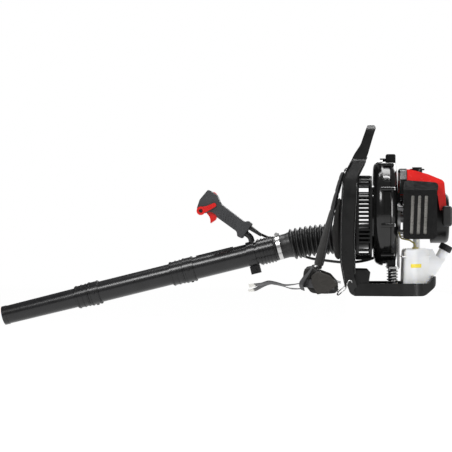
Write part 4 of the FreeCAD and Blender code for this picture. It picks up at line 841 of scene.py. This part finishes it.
def belt_band(side, word):
    """Belt webbing sewn along the outside of a hip pad."""
    outer = side * 147.5
    route = [(-170, outer, 30), (-205, outer + side * 1.5, 34), (-238, outer, 37), (-262, side * 138, 38)]
    points = [at(x, y, z) for x, y, z in route]
    line = smooth_line(points, 60)
    bm = bmesh.new()
    rows = []
    for index, point in enumerate(line):
        wave = 0.25 * math.sin(index * 1.9)
        row = []
        for step in range(9):
            share = step / 8 * 2 - 1
            thick = 1.0 - 0.6 * share ** 6 + wave
            row.append(bm.verts.new(point + Vector((0, side * thick, share * BELT_WIDTH / 2)) * MM))
        for step in range(9):
            share = 1 - step / 8 * 2
            row.append(bm.verts.new(point + Vector((0, -side, share * BELT_WIDTH / 2)) * MM))
        rows.append(row)
    bridge(bm, rows)
    piece("belt_band_" + word, bm, WEBBING, "root")


for side, word in ((-1, "left"), (1, "right")):
    belt_band(side, word)


FLAP_Y = 152.0
FLAP_THICK = 1.6


def pad_flap(side, word):
    """The loose end of a hip pad, folded over its outside: a thin panel with a soft ridge and slack edges."""
    rim = [(-237, 60), (-217, 73), (-182, 60), (-160, 35), (-186, 12), (-220, 5), (-236, 38)]
    middle = Vector((sum(x for x, _ in rim) / len(rim), 0, sum(z for _, z in rim) / len(rim)))
    corners = []
    for (x, z), (next_x, next_z) in zip(rim, rim[1:] + rim[:1]):
        for share in (0.08, 0.36, 0.64, 0.92):
            corners.append(at(x + (next_x - x) * share, 0, z + (next_z - z) * share))
    outline = smooth_line(corners + corners[:1], 84)[:-1]
    bm = bmesh.new()
    rims = []
    for layer in (0, 1):
        rings = [[bm.verts.new(at(middle.x, side * (FLAP_Y + FLAP_THICK * layer), middle.z))]]
        for ring in range(1, 9):
            share = ring / 8
            row = []
            for point in outline:
                flat = middle * MM + (point - middle * MM) * share
                ridge = 2.2 * math.exp(-((flat.x / MM + 205 + 0.5 * (flat.z / MM - 40)) / 9.0) ** 2)
                slack = noise.noise(flat * 55 + Vector((side, 0, 0))) * 1.6 - 2.2 * share ** 4
                out = FLAP_Y + FLAP_THICK * layer * (1 - share ** 6) + ridge + slack
                row.append(bm.verts.new(Vector((flat.x, side * out * MM, flat.z))))
            rings.append(row)
        for step in range(len(outline)):
            bm.faces.new((rings[0][0], rings[1][step], rings[1][(step + 1) % len(outline)]))
        bridge(bm, rings[1:], caps=False)
        rims.append(rings[-1])
    bridge(bm, rims, caps=False)
    # The flap's cloth carries painted light: it is the pad's black fabric made lighter.
    piece("pad_flap_" + word, bm, FLAP, "root")


for side, word in ((-1, "left"), (1, "right")):
    pad_flap(side, word)
    slant = [(-234, 140, 86), (-246, 147, 68), (-260, 149, 48), (-266, 147, 34), (-262, 142, 18)]
    slant_line = [at(x, side * y, z) for x, y, z in slant]
    ribbon("side_tape_" + word, slant_line, BELT_WIDTH, 2.4, [side * angle for angle in (14, 22, 30, 24)])


# ---------------------------------------------------------------- small hard parts

def plate(corners, thickness, out):
    """A flat plate from its corner points, thick along out."""
    bm = bmesh.new()
    low = [bm.verts.new(c) for c in corners]
    high = [bm.verts.new(c + out * thickness) for c in corners]
    bm.faces.new(low)
    bm.faces.new(high)
    for index in range(len(corners)):
        after = (index + 1) % len(corners)
        bm.faces.new((low[index], low[after], high[after], high[index]))
    return bm


def shroud():
    """Black shroud in front of the red cover, and the bright bracket on its shoulder."""
    half = [(30, 375), (66, 373.5), (75.5, 367.5), (88, 341), (93, 331), (93, 297)]
    section = [(-y, z) for y, z in reversed(half)] + half
    bm = bmesh.new()
    rows = []
    for x, grow in ((21.4, -6.0), (21.2, -1.5), (23.5, 0.0), (41.0, 0.0), (43.2, -0.7), (43.2, -2.6)):
        row = []
        for y, z in section:
            centre = Vector((0, 300))
            way = Vector((y, z)) - centre
            way = way.normalized() * grow
            row.append(bm.verts.new(at(x, y + way.x, z + way.y)))
        rows.append(row)
    for low, high in zip(rows, rows[1:]):
        for step in range(len(section) - 1):
            bm.faces.new((low[step], low[step + 1], high[step + 1], high[step]))
    obj = piece("shroud_front", bm, BLACK, "root", True)
    mod = obj.modifiers.new("edge", "BEVEL")
    mod.width = 0.0012
    mod.segments = 2
    out = Vector((0, -0.87, 0.49)).normalized()
    slope = [at(24, -89.5, 340.5), at(41.5, -89.5, 340.5), at(41.5, -77.2, 366.5), at(24, -77.2, 366.5)]
    piece("shroud_bracket", plate(slope, 0.0016, out), STEEL, "root", False, bevel=0.0006)


shroud()


def label_material():
    """Blank yellow label with no words."""
    mat, nodes, links, shader = new_material("blank_label")
    fade = noise_node(nodes, links, 120.0, 3.0)
    paint(nodes, links, shader, fade.outputs["Fac"], (0.78, 0.62, 0.03), (0.86, 0.7, 0.06))
    gloss(nodes, links, shader, fade.outputs["Fac"], 0.3, 0.42)
    add_bump(nodes, links, shader, fade.outputs["Fac"], 0.1, 0.0001)
    return mat


def on_surface(node, x, z, gap):
    """The point of a node first met from the wearer's left, lifted off by a gap."""
    found = NODES[node].ray_cast(Vector((x * MM, -0.4, z * MM)), Vector((0, 1, 0)))
    return found[1] + found[2] * gap * MM


def tank_label():
    bm = bmesh.new()
    grid = []
    for row in range(9):
        line = []
        for column in range(17):
            x = 52.5 + 31.0 * column / 16
            z = 82.5 + 11.0 * row / 8
            edge = 0.05 if row in (0, 8) or column in (0, 16) else 0.35
            line.append(bm.verts.new(on_surface("fuel_tank", x, z, edge)))
        grid.append(line)
    for low, high in zip(grid, grid[1:]):
        for column in range(16):
            bm.faces.new((low[column], low[column + 1], high[column + 1], high[column]))
    piece("tank_label", bm, label_material(), "root")


tank_label()


BEAD_Y = 139.6
BEAD_TAPER_Z = 300


def frame_beads():
    """Raised beads along the front and rear edges of the frame's side walls."""
    front = [
        (-136, 26), (-143.5, 60), (-150.6, 110), (-151, 190), (-147.6, 270),
        (-144.6, 318), (-141, 345), (-131, 370), (-119, 394),
    ]
    rear = [
        (-110.5, 64), (-111.2, 110), (-112, 170), (-108.5, 250),
        (-104.6, 320), (-100, 350), (-89, 374), (-79, 394),
    ]
    for side, word in ((-1, "left"), (1, "right")):
        tubes = []
        for line, radius in ((front, 3.0), (rear, 2.6)):
            points = []
            for x, z in line:
                above = max(0.0, z - BEAD_TAPER_Z)
                wide = BEAD_Y - 62.0 * (above / 108.0) ** 1.25
                points.append(at(x, side * wide, z))
            path = smooth_line(points, 80)
            tubes.append(swept_tube(path, [radius * MM] * len(path), 14))
        piece("frame_beads_" + word, joined(tubes), GLOSS, "root")


frame_beads()


def bar(centre, size):
    """A box from its centre and its size, in millimetres."""
    bm = bmesh.new()
    bmesh.ops.create_cube(bm, size=1.0)
    for v in bm.verts:
        v.co = at(*(middle + share * side for middle, share, side in zip(centre, v.co, size)))
    return bm


LOCK_Z = 80.5
HOOK_Y = 148


def strap_fittings():
    """Ladder locks under the shoulder straps, and wire hooks with black caps at the frame's foot."""
    for side, word in ((-1, "left"), (1, "right")):
        parts = []
        for x in (-224.5, -217, -209.5):
            parts.append(bar((x, side * STRAP_Y, LOCK_Z), (3, 37, 5)))
        for edge in (-1, 1):
            parts.append(bar((-217, side * STRAP_Y + edge * 16.5, LOCK_Z), (18, 5, 5.4)))
        name = "ladder_lock_" + word
        lock = piece(name, joined(parts), BLACK, "root", False, bevel=0.8 * MM)
        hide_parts("strap_hardware")
        eye = [(-118, 140.6, 40), (-121, HOOK_Y, 45), (-127, HOOK_Y, 46), (-132, HOOK_Y, 39)]
        shank = [(-136, HOOK_Y, 25), (-142, HOOK_Y, 17), (-157, HOOK_Y, 4)]
        path = smooth_line([at(x, side * y, z) for x, y, z in eye + shank], 90)
        wire = swept_tube(path, [1.6 * MM] * len(path), 16)
        piece("wire_hook_" + word, wire, STEEL, "root")
        cap = [(-150, 10.5), (-154, 6.8), (-158.5, 3.8), (-161.5, 6), (-158, 12)]
        path = smooth_line([at(x, side * HOOK_Y, z) for x, z in cap], 40)
        tube = swept_tube(path, [1.75 * MM] * len(path), 16)
        piece("hook_cap_" + word, tube, BLACK, "root")


strap_fittings()


def primer_dome():
    """Soft bulb of the primer, as a dome on the carburetor."""
    centre = at(66, 77, 254.3)
    bm = bmesh.new()
    bmesh.ops.create_uvsphere(bm, u_segments=32, v_segments=20, radius=9.9 * MM)
    around = bm.verts[:] + bm.edges[:] + bm.faces[:]
    bmesh.ops.bisect_plane(bm, geom=around, plane_co=(0, 0, 0), plane_no=(0, 0, 1), clear_outer=True)
    bmesh.ops.holes_fill(bm, edges=bm.edges[:])
    bmesh.ops.translate(bm, verts=bm.verts[:], vec=centre)
    dome = piece("primer_dome", bm, AMBER, "root")
    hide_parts("primer_bulb")
    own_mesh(dome)


primer_dome()


def frame_gussets():
    """Webs that stiffen the corner between the back of the frame and its base."""
    outline = [(-110, 35), (-111, 77), (-71, 76), (-65, 70), (-70, 35)]
    for side, word in ((-1, "left"), (1, "right")):
        corners = [at(x, side * 122, z) for x, z in outline]
        web = plate(corners, 5 * MM, Vector((0, side, 0)))
        piece("frame_gusset_" + word, web, BLACK, "root", False, bevel=0.0015)


frame_gussets()
